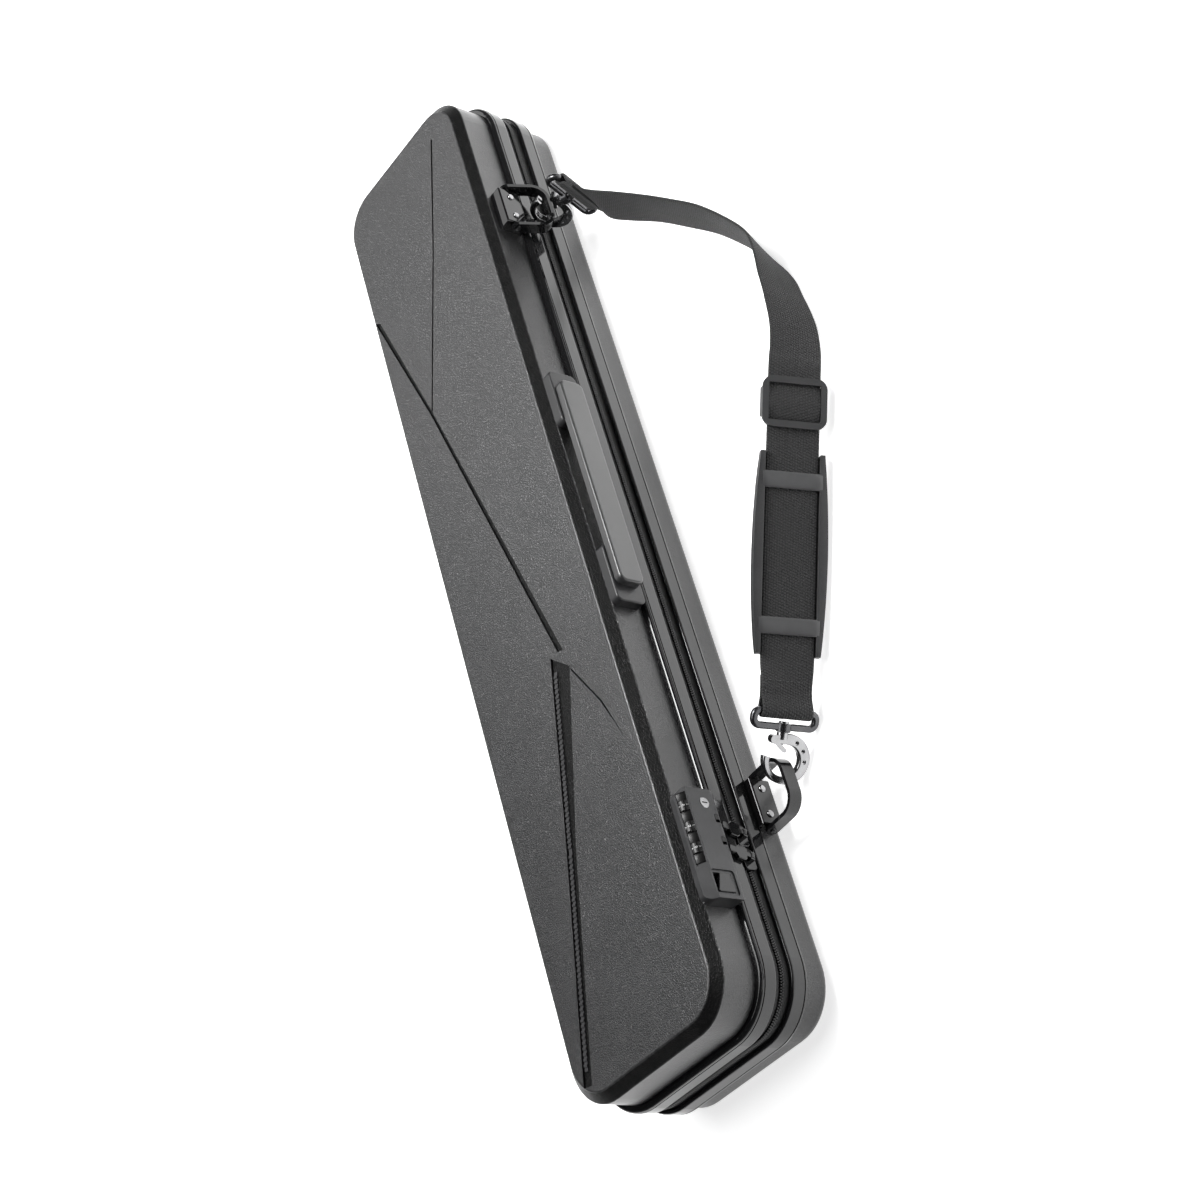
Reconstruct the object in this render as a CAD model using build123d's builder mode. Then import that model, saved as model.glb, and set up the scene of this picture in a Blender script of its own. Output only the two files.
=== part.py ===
from build123d import *
from math import cos, sin, radians
import os

os.makedirs("parts", exist_ok=True)

# The case lies on its back shell. Origin: plan centre, on the table.
# +Z is the lid's normal, -Y is the side with lock and handle, +X is the end by the upper ring.

# Case outline and the heights of its layers
case_length = 840.0
case_width = 168.0
corner_radius = 38.0
back_height = 24.7
rim_height = 14.8
zip_height = 13.4
lid_wall_height = 26.3
lid_edge_height = 7.0
lid_edge_inset = 8.0
lid_edge_round = 1.5
back_edge_radius = 8.0
shell_wall = 2.5
lid_panel_wall = 3.2
seat_gap = 0.1
piece_gap = 0.3
bore_gap = 0.05

back_rim_top = back_height + rim_height
parting_height = back_rim_top + zip_height / 2
lid_rim_low = back_rim_top + zip_height
lid_wall_low = lid_rim_low + rim_height
lid_wall_top = lid_wall_low + lid_wall_height
lid_top = lid_wall_top + lid_edge_height
side_y = -case_width / 2
inner_side_y = side_y + shell_wall
across_y = (90, 0, 0)
along_x = (0, 90, 0)
upward = (Align.CENTER, Align.CENTER, Align.MIN)
downward = (Align.CENTER, Align.CENTER, Align.MAX)
inward = (Align.CENTER, Align.MIN, Align.CENTER)

# Bead rims that grip the shells' edges
rim_reach = 5.5
rim_inner = 6.0
rim_shell_round = 3.2
rim_zip_round = 2.0
rim_groove_offset = 3.2
rim_groove_width = 0.9
rim_groove_depth = 1.0
shell_lap = 6.0

# Zip between the rims
tape_inner = 0.3
tape_outer = 1.5
tape_lap = 3.0
coil_inner = 0.2
coil_outer = 2.8
coil_height = 1.6
coil_gap = 0.4

# Fabric hinge on the far side
hinge_length = 760.0
hinge_out = 2.0
hinge_tape_thickness = 1.2
hinge_bead = 1.0
zip_end_gap = 2.0

# Foam inserts
insert_gap = 0.4
insert_edge_round = 6.0
base_insert_top = back_rim_top + 3.5
channel_length = 760.0
butt_radius = 17.0
shaft_radius = 11.0
channel_axis_height = 24.0
butt_channels = (-51.6, -9.2)
shaft_channels = (27.2, 57.6)
lid_insert_low = parting_height + 3.2
lid_insert_top = lid_top - 5.5
pocket_length = 200.0
pocket_width = 100.0
pocket_depth = 35.0
pocket_spacing = 240.0
cue_strap_width = 25.0
cue_strap_thickness = 1.2
cue_strap_length = 140.0
cue_strap_spacing = 420.0

# Creases and the tapering channel on the lid's panel, as outlines (x, y)
crease_depth = 1.8
channel_depth = 1.8
main_crease = [(292, 76), (164, 39.5), (-107, -24), (-109, -30), (164, 36.5), (287, 70)]
top_crease = [(389, -48), (295, -14.2), (164, 38.8), (164, 37.0), (295, -16), (388.5, -50)]
side_crease = [(-126, -31), (-166, -51.2), (-237, -75.5), (-241, -75.5), (-166.5, -53), (-127, -33)]
channel_outline = [(-107, -15), (-246, 23), (-402, 69), (-404, 60), (-249, 13), (-124, -32)]
trim_line = [(-119, -15.2), (-246.6, 19.9), (-392, 62.6)]
trim_width = 3.5
trim_base = 0.9
trim_rib_height = 0.7
trim_rib_width = 1.8
trim_rib_pitch = 3.8

# Handle on the lid's side wall
handle_height = 82.0
grip_length = 186.0
grip_width = 22.0
grip_thickness = 6.6
grip_corner = 6.0
grip_edge_round = 1.8
bracket_centre = 81.0
bracket_length = 50.0
bracket_width = 26.0
bracket_reach = 8.0
bracket_corner = 5.0
bracket_edge_round = 1.2
bracket_wall = 1.8
leg_length = 16.0
leg_width = 12.0
leg_foot = 2.4
handle_travel = 10.0
screw_spacing = 40.0
screw_radius = 1.5
screw_head_radius = 3.2
screw_head_height = 1.6
screw_grip = 4.6

# Lock on the lid's side wall
lock_low_x = -346.0
lock_length = 84.0
lock_reach = 12.0
lock_low = 66.0
lock_top = 97.5
lock_bevel_height = 6.0
lock_bevel_width = 8.0
lock_corner = 6.0
lock_front_round = 5.0
lock_wall = 1.5
plate_thickness = 1.2
dial_count = 3
dial_pitch = 16.0
dial_first_x = -275.0
dial_radius = 5.0
dial_length = 8.0
dial_proud = 0.8
dial_slot_width = 7.0
dial_slot_depth = 1.2
dial_slot_length = 55.0
dial_faces = 10
dial_groove = 0.4
axle_radius = 1.2
axle_length = 53.0
key_x = -273.0
key_height = 78.6
key_radius = 4.0
key_length = 9.0
key_proud = 0.3
key_slot_length = 5.0
key_slot_width = 0.9
key_slot_depth = 4.0
button_x = -334.0
button_height = 82.5
button_long = 14.0
button_short_side = 9.0
button_tall_side = 15.0
button_recess_long = 19.0
button_recess_tall = 20.0
button_recess_depth = 1.0
button_depth = 6.0
button_travel = 2.0
spring_radius = 3.0
spring_wire = 0.8
catch_low_x = -319.0
catch_length = 45.0
catch_low = 69.6
catch_height = 3.4
catch_thickness = 2.8
catch_hooks = (-283.5, -300.5)
catch_hook_width = 3.6
lock_screws_x = (-267.0, -334.0)
lock_screw_z = 73.0
lock_screw_radius = 1.3
lock_screw_grip = 3.6

# Zip sliders and pullers
slider_x = (-291.0, -309.0)
slider_length = 16.0
slider_height = 10.6
slider_corner = 3.0
slider_thickness = 2.0
puller_lean = 17.0
puller_pivot_out = 7.6
pin_radius = 1.0
bridge_cheek = 1.2
bridge_inner = 3.6
bridge_height = 3.2
puller_thickness = 2.6
puller_length = 19.4
puller_width = 11.0
puller_low = 4.2
puller_shoulder = 14.0
puller_tip_width = 5.0
puller_eye_radius = 2.1

# Ring mounts, lower on the back shell and upper on the lid
ring_names = ("lower", "upper")
ring_x = {"lower": -264.0, "upper": 278.0}
ring_pivot_z = {"lower": 18.0, "upper": 80.0}
ring_tilt = {"lower": -5.3, "upper": 70.0}
block_wall_z = {"lower": (8.2, 24.3), "upper": (70.0, 90.0)}
block_face_z = {"lower": (9.0, 27.5), "upper": (70.0, 90.0)}
rivet_z = {"lower": 18.5, "upper": 80.0}
ring_pivot_out = 8.5
ring_pin_radius = 2.0
ring_pin_length = 9.8
ring_width = 44.0
ring_reach = 33.0
ring_band = 10.0
ring_thickness = 2.8
ring_corner = 14.0
block_length = 36.0
block_reach = 11.0
block_edge_round = 1.4
rivet_spacing = 20.0
rivet_radius = 1.5
rivet_head_radius = 2.8
rivet_head_height = 1.3

# Snap hooks, measured from the webbing bar towards the nose
hook_loop_width = 51.0
hook_loop_length = 15.5
hook_loop_corner = 7.0
hook_wire = 5.0
hook_wire_round = 1.9
boss_radius = 5.2
boss_end = 13.7
stem_radius = 2.5
stem_head_radius = 3.6
stem_head_start = 6.5
stem_head_height = 1.2
neck_radius = 4.0
neck_start = 14.0
neck_end = 19.0
hook_inner_radius = 11.0
hook_outer_radius = 17.5
hook_inner_centre = (33.2, 3.0)
hook_outer_centre = (32.2, 4.5)
hook_thickness = 6.0
hook_edge_round = 1.3
hook_mouth_angles = (-98.0, -165.0)
hook_hole_radius = 1.6
hook_hole_ring = 14.6
hook_hole_angles = (150.0, 120.0, 90.0)
gate_pivot = (19.2, -6.0)
gate_eye = 3.2
gate_hub = 2.4
gate_pin = 1.1
gate_length = 11.4
gate_width = 3.0
gate_thickness = 1.8
gate_slot = 2.4
gate_angles = (50.0, -20.0)

# Strap: where it goes, as points (x, out from the side, z) with a lean from upright
webbing_width = 38.0
webbing_thickness = 2.2
webbing_eye_inner = 3.0
webbing_tab_length = 14.0
webbing_tab_thickness = 4.4
lower_bar = Vector(-223.2, side_y - 60.1, 25.7)
lower_hook_target = Vector(-247.5, side_y - 37.7, 22.6)
upper_bar = Vector(264.4, side_y - 54.4, 52.1)
upper_hook_target = Vector(274.1, side_y - 22.9, 55.8)
straight_end = Vector(-9.5, side_y - 169.2, 25.7)
straight_lean = 28.0
upper_lean = -20.0
lower_hook_lean = 17.1
upper_hook_lean = -24.5
lower_path = [
    (6, 173.8, 22.6, 23),
    (18, 176.6, 20.6, 19),
    (30, 178.6, 19.4, 15),
    (44, 179.8, 19.2, 10),
    (59, 180.4, 19.4, 4),
    (74, 180.6, 19.4, 0),
    (92, 179.4, 19.3, -12),
    (109, 174.8, 18.9, -22),
]
upper_path = [
    (131, 164, 19.6, -23),
    (160, 146, 24.5, -22),
    (182, 127, 31, -20),
    (203, 107, 38.5, -18),
    (221, 87, 46, -20),
    (236, 71.5, 50.6, -20),
]
strap_gap = 0.4

# Adjuster and shoulder pad on the straight run of the strap
adjuster_place = 217.5
adjuster_length = 37.0
adjuster_bar = 5.0
adjuster_side = 4.0
adjuster_half = 3.8
pad_place = 110.0
pad_length = 143.0
pad_end_width = 46.0
pad_mid_width = 53.0
pad_back = 2.5
pad_rim_rise = 3.0
pad_band_width = 17.5
pad_band_thickness = 1.8
pad_band_inset = 13.0


def finish(part, name):
    part.label = name
    export_step(part, f"parts/{name}.step")


def outline(grow):
    RectangleRounded(case_length + 2 * grow, case_width + 2 * grow, corner_radius + grow)


# A slab with the case's outline, its lower edge rounded when a radius is given
def slab(grow, low, high, edge_radius=0):
    with BuildPart() as piece:
        with BuildSketch(Plane.XY.offset(low)):
            outline(grow)
        extrude(amount=high - low)
        if edge_radius > 0:
            fillet(piece.faces().sort_by(Axis.Z)[0].edges(), edge_radius)
    return piece.part


# A band that follows the case's outline
def band(inner, outer, low, high):
    with BuildPart() as piece:
        with BuildSketch(Plane.XY.offset(low)):
            outline(outer)
            RectangleRounded(case_length + 2 * inner, case_width + 2 * inner, corner_radius + inner,
                             mode=Mode.SUBTRACT)
        extrude(amount=high - low)
    return piece.part


# A straight wall, then a sloping edge up to a panel
def lid_form(grow, low, wall_top, top, inset):
    with BuildPart() as piece:
        with BuildSketch(Plane.XY.offset(low)):
            outline(grow)
        extrude(amount=wall_top - low)
        with BuildSketch(Plane.XY.offset(wall_top)):
            outline(grow)
        with BuildSketch(Plane.XY.offset(top)):
            outline(grow - inset)
        loft(ruled=True)
    return piece.part


# Back shell, with holes for the lower ring mount's rivets
back_block = slab(0, 0, back_height + shell_lap, back_edge_radius)
back_hollow = slab(-shell_wall, shell_wall, back_height + shell_lap + 1, back_edge_radius - shell_wall)
with BuildPart() as base_shell:
    add(back_block)
    add(back_hollow, mode=Mode.SUBTRACT)
    for side in (-1, 1):
        rivet_x = ring_x["lower"] + side * rivet_spacing / 2
        with Locations(Location((rivet_x, side_y, rivet_z["lower"]), across_y)):
            Cylinder(rivet_radius + seat_gap, 4 * shell_wall, mode=Mode.SUBTRACT)
finish(base_shell.part, "base_shell")

# Lid shell, with its creases, the handle's openings and the holes for rivets and screws
lid_block = lid_form(0, lid_wall_low - shell_lap, lid_wall_top, lid_top, lid_edge_inset)
inner_inset = lid_edge_inset * (lid_edge_height - lid_panel_wall) / lid_edge_height
lid_hollow = lid_form(-shell_wall, lid_wall_low - shell_lap - 1, lid_wall_top, lid_top - lid_panel_wall,
                      inner_inset)
sleeve_length = leg_length + 2 * leg_foot + 2 * piece_gap + 2 * bracket_wall
sleeve_width = leg_width + 2 * piece_gap + 2 * bracket_wall
handle_screws_x = [side * bracket_centre + end * screw_spacing / 2 for side in (-1, 1) for end in (-1, 1)]
with BuildPart() as lid_shell:
    add(lid_block)
    fillet(lid_shell.faces().sort_by(Axis.Z)[-1].edges(), lid_edge_round)
    add(lid_hollow, mode=Mode.SUBTRACT)
    for crease in (main_crease, top_crease, side_crease):
        with BuildSketch(Plane.XY.offset(lid_top)):
            with BuildLine():
                Polyline(*crease, close=True)
            make_face()
        extrude(amount=-crease_depth, mode=Mode.SUBTRACT)
    with BuildSketch(Plane.XY.offset(lid_top)):
        with BuildLine():
            Polyline(*channel_outline, close=True)
        make_face()
    extrude(amount=-channel_depth, mode=Mode.SUBTRACT)
    for side in (-1, 1):
        with Locations((side * bracket_centre, side_y, handle_height)):
            Box(sleeve_length + 2 * seat_gap, 6 * shell_wall, sleeve_width + 2 * seat_gap,
                mode=Mode.SUBTRACT)
        rivet_x = ring_x["upper"] + side * rivet_spacing / 2
        with Locations(Location((rivet_x, side_y, rivet_z["upper"]), across_y)):
            Cylinder(rivet_radius + seat_gap, 6 * shell_wall, mode=Mode.SUBTRACT)
    for x in handle_screws_x:
        with Locations(Location((x, side_y, handle_height), across_y)):
            Cylinder(screw_radius + seat_gap, 6 * shell_wall, mode=Mode.SUBTRACT)
    for x in lock_screws_x:
        with Locations(Location((x, side_y, lock_screw_z), across_y)):
            Cylinder(lock_screw_radius + seat_gap, 6 * shell_wall, mode=Mode.SUBTRACT)
finish(lid_shell.part, "lid_shell")

# Ribbed trim strip that lies in the channel
trim_low = lid_top - channel_depth
with BuildPart() as panel_trim:
    for start, end in zip(trim_line[:-1], trim_line[1:]):
        run = Vector(*end) - Vector(*start)
        middle = (Vector(*end) + Vector(*start)) / 2
        run_plane = Plane(origin=(middle.X, middle.Y, trim_low), x_dir=run, z_dir=(0, 0, 1))
        with Locations(run_plane):
            Box(run.length + trim_width / 4, trim_width, trim_base,
                align=upward)
            with GridLocations(trim_rib_pitch, 0, int(run.length / trim_rib_pitch), 1):
                Box(trim_rib_width, trim_width, trim_base + trim_rib_height,
                    align=upward)
finish(panel_trim.part, "panel_trim")


# A bead rim. The shell's edge enters it from one side and the zip tape from the other.
def bead_rim(low, shell_below):
    high = low + rim_height
    ring = band(-rim_inner, rim_reach, low, high)
    tape_slot_outer = hinge_out + hinge_tape_thickness / 2 + seat_gap
    if shell_below:
        shell_slot = band(-shell_wall - seat_gap, seat_gap, low - 1, low + shell_lap + seat_gap)
        tape_slot = band(coil_inner, tape_slot_outer, high - tape_lap, high + 1)
        groove_low = low + rim_groove_offset
    else:
        shell_slot = band(-shell_wall - seat_gap, seat_gap, high - shell_lap - seat_gap, high + 1)
        tape_slot = band(coil_inner, tape_slot_outer, low - 1, low + tape_lap)
        groove_low = high - rim_groove_offset - rim_groove_width
    groove = band(rim_reach - rim_groove_depth, rim_reach + 1, groove_low, groove_low + rim_groove_width)
    low_round = rim_shell_round if shell_below else rim_zip_round
    high_round = rim_zip_round if shell_below else rim_shell_round
    with BuildPart() as rim:
        add(ring)
        fillet(rim.faces().sort_by(Axis.Z)[0].outer_wire().edges(), low_round)
        fillet(rim.faces().sort_by(Axis.Z)[-1].outer_wire().edges(), high_round)
        add(shell_slot, mode=Mode.SUBTRACT)
        add(tape_slot, mode=Mode.SUBTRACT)
        add(groove, mode=Mode.SUBTRACT)
    return rim.part


finish(bead_rim(back_height, True), "base_rim")
finish(bead_rim(lid_rim_low, False), "lid_rim")


# The zip takes the whole outline but the straight part of the far side
def zip_band(inner, outer, low, high):
    ring = band(inner, outer, low, high)
    with BuildPart() as piece:
        add(ring)
        with Locations((0, case_width / 2, low)):
            Box(hinge_length + 2 * zip_end_gap, corner_radius, 4 * (high - low), mode=Mode.SUBTRACT)
    return piece.part


# A coil also stops where the outline turns to the far side, so that the lid can swing past it
def coil_band(low, high):
    with BuildPart() as piece:
        add(zip_band(coil_inner, coil_outer, low, high))
        with Locations((0, case_width / 2, low)):
            Box(2 * case_length, 4 * coil_outer, 4 * (high - low), align=inward, mode=Mode.SUBTRACT)
    return piece.part


coil_low = parting_height - coil_gap / 2 - coil_height
coil_high = parting_height + coil_gap / 2 + coil_height
finish(zip_band(tape_inner, tape_outer, back_rim_top - tape_lap + seat_gap, coil_low), "base_zip_tape")
finish(coil_band(coil_low, coil_low + coil_height), "base_zip_coil")
finish(zip_band(tape_inner, tape_outer, coil_high, lid_rim_low + tape_lap - seat_gap), "lid_zip_tape")
finish(coil_band(coil_high - coil_height, coil_high), "lid_zip_coil")

# The fabric hinge, in two halves. The back shell's half ends in a bead on the fold line.
hinge_y = case_width / 2 + hinge_out
hinge_half = zip_height / 2 + tape_lap - seat_gap
with BuildPart() as hinge_tape_base:
    with Locations((0, hinge_y, parting_height)):
        Box(hinge_length, hinge_tape_thickness, hinge_half, align=downward)
    with Locations(Location((0, hinge_y, parting_height), along_x)):
        Cylinder(hinge_bead, hinge_length)
finish(hinge_tape_base.part, "hinge_tape_base")
with BuildPart() as hinge_tape_lid:
    with Locations((0, hinge_y, parting_height)):
        Box(hinge_length, hinge_tape_thickness, hinge_half, align=upward)
    with Locations(Location((0, hinge_y, parting_height), along_x)):
        Cylinder(hinge_bead + piece_gap, hinge_length + 1, mode=Mode.SUBTRACT)
finish(hinge_tape_lid.part, "hinge_tape_lid")

# Back foam insert, with two wide and two narrow channels along its length
insert_low_part = slab(-shell_wall - insert_gap, shell_wall + insert_gap, back_height - insert_gap,
                       insert_edge_round)
insert_high_part = slab(-rim_inner - 2 * insert_gap, back_height - insert_gap, base_insert_top)
with BuildPart() as base_insert:
    add(insert_low_part)
    add(insert_high_part)
    for centres, radius in ((butt_channels, butt_radius), (shaft_channels, shaft_radius)):
        for centre in centres:
            with Locations(Location((0, centre, channel_axis_height), along_x)):
                Cylinder(radius, channel_length, mode=Mode.SUBTRACT)
            with Locations((0, centre, channel_axis_height)):
                Box(channel_length, 2 * radius, base_insert_top, align=upward,
                    mode=Mode.SUBTRACT)
finish(base_insert.part, "base_insert")

# Straps that hold the cues in their channels
with BuildPart() as cue_straps:
    with Locations((0, 0, base_insert_top + seat_gap)):
        with GridLocations(cue_strap_spacing, 0, 2, 1):
            Box(cue_strap_width, cue_strap_length, cue_strap_thickness,
                align=upward)
finish(cue_straps.part, "cue_straps")

# Lid foam insert, with pockets that open downwards and room behind the handle
sleeve_back_y = side_y - bracket_reach + 2 * bracket_wall + handle_travel + leg_foot + 2 * piece_gap
lid_insert_slab = slab(-rim_inner - 2 * insert_gap, lid_insert_low, lid_insert_top)
with BuildPart() as lid_insert:
    add(lid_insert_slab)
    with Locations((0, 0, lid_insert_low)):
        with GridLocations(pocket_spacing, 0, 3, 1):
            Box(pocket_length, pocket_width, pocket_depth, align=upward,
                mode=Mode.SUBTRACT)
    for side in (-1, 1):
        with Locations((side * bracket_centre, side_y, handle_height)):
            Box(sleeve_length + 2, 2 * (sleeve_back_y - side_y + 1), sleeve_width + 2, mode=Mode.SUBTRACT)
finish(lid_insert.part, "lid_insert")

# Handle brackets. Each has a sleeve through the lid's wall, in which the grip's leg slides.
bracket_face_y = side_y - bracket_reach
foot_length = leg_length + 2 * leg_foot
for name, side in (("handle_bracket_upper", 1), ("handle_bracket_lower", -1)):
    centre = side * bracket_centre
    with BuildPart() as bracket:
        with BuildSketch(Plane.XZ.offset(-side_y)):
            with Locations((centre, handle_height)):
                RectangleRounded(bracket_length, bracket_width, bracket_corner)
        extrude(amount=bracket_reach)
        fillet(bracket.faces().sort_by(Axis.Y)[0].edges(), bracket_edge_round)
        with Locations((centre, side_y - 1, handle_height)):
            Box(sleeve_length, sleeve_back_y - side_y + 1, sleeve_width,
                align=inward)
        with Locations((centre, bracket_face_y + bracket_wall, handle_height)):
            Box(foot_length + 2 * piece_gap, sleeve_back_y - bracket_face_y - 2 * bracket_wall,
                leg_width + 2 * piece_gap, align=inward, mode=Mode.SUBTRACT)
        with Locations((centre, bracket_face_y, handle_height)):
            Box(leg_length + 2 * piece_gap, 4 * bracket_wall, leg_width + 2 * piece_gap, mode=Mode.SUBTRACT)
        for end in (-1, 1):
            with Locations(Location((centre + end * screw_spacing / 2, side_y, handle_height), across_y)):
                Cylinder(screw_radius + seat_gap, screw_grip + seat_gap,
                         align=upward, mode=Mode.SUBTRACT)
    finish(bracket.part, name)

# Grip bar with a leg at each end. The legs' feet stop it at the end of its travel.
grip_back_y = bracket_face_y - piece_gap
foot_back_y = sleeve_back_y - bracket_wall - piece_gap
with BuildPart() as handle_grip:
    with BuildSketch(Plane.XZ.offset(-grip_back_y)):
        with Locations((0, handle_height)):
            RectangleRounded(grip_length, grip_width, grip_corner)
    extrude(amount=grip_thickness)
    fillet(handle_grip.faces().sort_by(Axis.Y)[0].edges(), grip_edge_round)
    for side in (-1, 1):
        with Locations((side * bracket_centre, grip_back_y - 1, handle_height)):
            Box(leg_length, foot_back_y - grip_back_y + 1, leg_width, align=inward)
        with Locations((side * bracket_centre, foot_back_y, handle_height)):
            Box(foot_length, leg_foot, leg_width, align=(Align.CENTER, Align.MAX, Align.CENTER))
finish(handle_grip.part, "handle_grip")

with BuildPart() as handle_screws:
    for x in handle_screws_x:
        with Locations(Location((x, inner_side_y, handle_height), across_y)):
            Cylinder(screw_radius, shell_wall + screw_grip, align=upward)
            Cylinder(screw_head_radius, screw_head_height, align=downward)
finish(handle_screws.part, "handle_screws")

# Lock housing: a block with a bevel along its top edge, which carries the dials
lock_front_y = side_y - lock_reach
lock_step_y = side_y - rim_reach - 2 * seat_gap
lock_back_low = lid_wall_low + seat_gap
bevel_low = lock_top - lock_bevel_height
bevel_back_y = lock_front_y + lock_bevel_width
bevel_normal = Vector(0, -lock_bevel_height, lock_bevel_width).normalized()
bevel_middle = Vector(0, (lock_front_y + bevel_back_y) / 2, (bevel_low + lock_top) / 2)
dial_axis = bevel_middle - bevel_normal * (dial_radius - dial_proud)
dial_places = [dial_first_x - i * dial_pitch for i in range(dial_count)]
dial_middle = sum(dial_places) / dial_count
dial_pocket = dial_radius + piece_gap
dial_room = dial_length + 2 * piece_gap
lock_middle_x = lock_low_x + lock_length / 2
plate_low = lock_back_low + lock_wall
plate_high = lock_top - lock_wall
catch_back_y = side_y - plate_thickness - piece_gap
catch_front_y = catch_back_y - catch_thickness
button_front_y = lock_front_y
button_back_y = button_front_y + button_depth
with BuildPart() as lock_housing:
    with BuildSketch(Plane.YZ.offset(lock_low_x)) as lock_profile:
        with BuildLine():
            Polyline((side_y, lock_back_low), (lock_step_y, lock_back_low), (lock_step_y, lock_low),
                     (lock_front_y, lock_low), (lock_front_y, bevel_low), (bevel_back_y, lock_top),
                     (side_y, lock_top), close=True)
        make_face()
        fillet(lock_profile.vertices().group_by(Axis.Y)[0].sort_by(Axis.X)[0], lock_front_round)
    extrude(amount=lock_length)
    with BuildSketch(Plane.XZ.offset(-side_y)):
        with Locations((lock_middle_x, (lock_low + lock_top) / 2)):
            RectangleRounded(lock_length, lock_top - lock_low, lock_corner)
    extrude(amount=lock_reach, mode=Mode.INTERSECT)
    # Seat for the back plate
    with Locations((lock_middle_x, side_y, (plate_low + plate_high) / 2)):
        Box(lock_length - 2 * lock_wall, 2 * (plate_thickness + seat_gap), plate_high - plate_low,
            mode=Mode.SUBTRACT)
    # Slot, pockets and axle bore for the dials
    with Locations(Plane(origin=(dial_middle - 1.5, bevel_middle.Y, bevel_middle.Z), x_dir=(1, 0, 0),
                         z_dir=bevel_normal)):
        Box(dial_slot_length, dial_slot_width, 2 * dial_slot_depth, mode=Mode.SUBTRACT)
    for x in dial_places:
        with Locations(Location((x, dial_axis.Y, dial_axis.Z), along_x)):
            Cylinder(dial_pocket, dial_room, mode=Mode.SUBTRACT)
    with Locations(Location((dial_middle, dial_axis.Y, dial_axis.Z), along_x)):
        Cylinder(axle_radius + bore_gap, axle_length + 2 * seat_gap, mode=Mode.SUBTRACT)
    # Bore for the key plug
    with Locations(Location((key_x, lock_front_y + key_length, key_height), across_y)):
        Cylinder(key_radius + bore_gap, 2 * key_length, align=upward,
                 mode=Mode.SUBTRACT)
    # Shallow recess round the button, and the button's pocket
    with BuildSketch(Plane.XZ.offset(-lock_front_y)):
        with Locations((button_x, button_height - 0.5)):
            RectangleRounded(button_recess_long, button_recess_tall, 2.5)
    extrude(amount=-button_recess_depth, mode=Mode.SUBTRACT)
    with Locations((button_x, side_y, button_height)):
        Box(button_long + 2 * piece_gap, 3 * lock_reach, button_tall_side + 2 * piece_gap,
            mode=Mode.SUBTRACT)
    # Channel for the catch bar, with a slot in front of each hook
    with Locations((catch_low_x - button_travel - piece_gap, side_y, catch_low - piece_gap)):
        Box(catch_length + button_travel + 2 * piece_gap, side_y - catch_front_y + piece_gap,
            catch_height + 2 * piece_gap, align=(Align.MIN, Align.MAX, Align.MIN), mode=Mode.SUBTRACT)
    for x in catch_hooks:
        with Locations((x - button_travel / 2, catch_front_y + 1, catch_low - piece_gap)):
            catch_slot = catch_hook_width + button_travel + 2 * piece_gap
            Box(catch_slot, 2 * lock_reach, catch_height + 2 * piece_gap,
                align=(Align.CENTER, Align.MAX, Align.MIN), mode=Mode.SUBTRACT)
    for x in lock_screws_x:
        with Locations(Location((x, side_y, lock_screw_z), across_y)):
            Cylinder(lock_screw_radius + seat_gap, plate_thickness + lock_screw_grip + seat_gap,
                     align=upward, mode=Mode.SUBTRACT)
finish(lock_housing.part, "lock_housing")

with BuildPart() as lock_back_plate:
    with Locations((lock_middle_x, side_y, (plate_low + plate_high) / 2)):
        plate_length = lock_length - 2 * lock_wall - 2 * seat_gap
        Box(plate_length, plate_thickness, plate_high - plate_low - 2 * seat_gap,
            align=(Align.CENTER, Align.MAX, Align.CENTER))
    with Locations((dial_middle, side_y, dial_axis.Z)):
        Box(dial_pitch * dial_count, 4, 2 * dial_pocket, mode=Mode.SUBTRACT)
    for x in lock_screws_x:
        with Locations(Location((x, side_y, lock_screw_z), across_y)):
            Cylinder(lock_screw_radius + seat_gap, 4, mode=Mode.SUBTRACT)
finish(lock_back_plate.part, "lock_back_plate")

with BuildPart() as lock_screws:
    for x in lock_screws_x:
        with Locations(Location((x, inner_side_y, lock_screw_z), across_y)):
            Cylinder(lock_screw_radius, shell_wall + plate_thickness + lock_screw_grip,
                     align=upward)
            Cylinder(2 * lock_screw_radius, lock_screw_radius, align=downward)
finish(lock_screws.part, "lock_screws")

# Number dials on their axle
for i, x in enumerate(dial_places):
    with BuildPart() as number_dial:
        with Locations(Location((x, dial_axis.Y, dial_axis.Z), along_x)):
            Cylinder(dial_radius, dial_length)
        chamfer(number_dial.edges().filter_by(GeomType.CIRCLE), 0.6)
        with Locations(Location((x, dial_axis.Y, dial_axis.Z), along_x)):
            Cylinder(axle_radius + bore_gap, dial_length + 1, mode=Mode.SUBTRACT)
            with PolarLocations(dial_radius, dial_faces):
                Cylinder(dial_groove, dial_length + 1, mode=Mode.SUBTRACT)
    finish(number_dial.part, f"number_dial_{i + 1}")

with BuildPart() as dial_axle:
    with Locations(Location((dial_middle, dial_axis.Y, dial_axis.Z), along_x)):
        Cylinder(axle_radius, axle_length)
finish(dial_axle.part, "dial_axle")

with BuildPart() as key_plug:
    with Locations(Location((key_x, lock_front_y + key_length - piece_gap, key_height), across_y)):
        Cylinder(key_radius, key_length + key_proud - piece_gap, align=upward)
    chamfer(key_plug.faces().sort_by(Axis.Y)[0].edges(), 0.3)
    with Locations((key_x, lock_front_y - key_proud, key_height)):
        Box(key_slot_width, 2 * key_slot_depth, key_slot_length, mode=Mode.SUBTRACT)
finish(key_plug.part, "key_plug")

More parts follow.
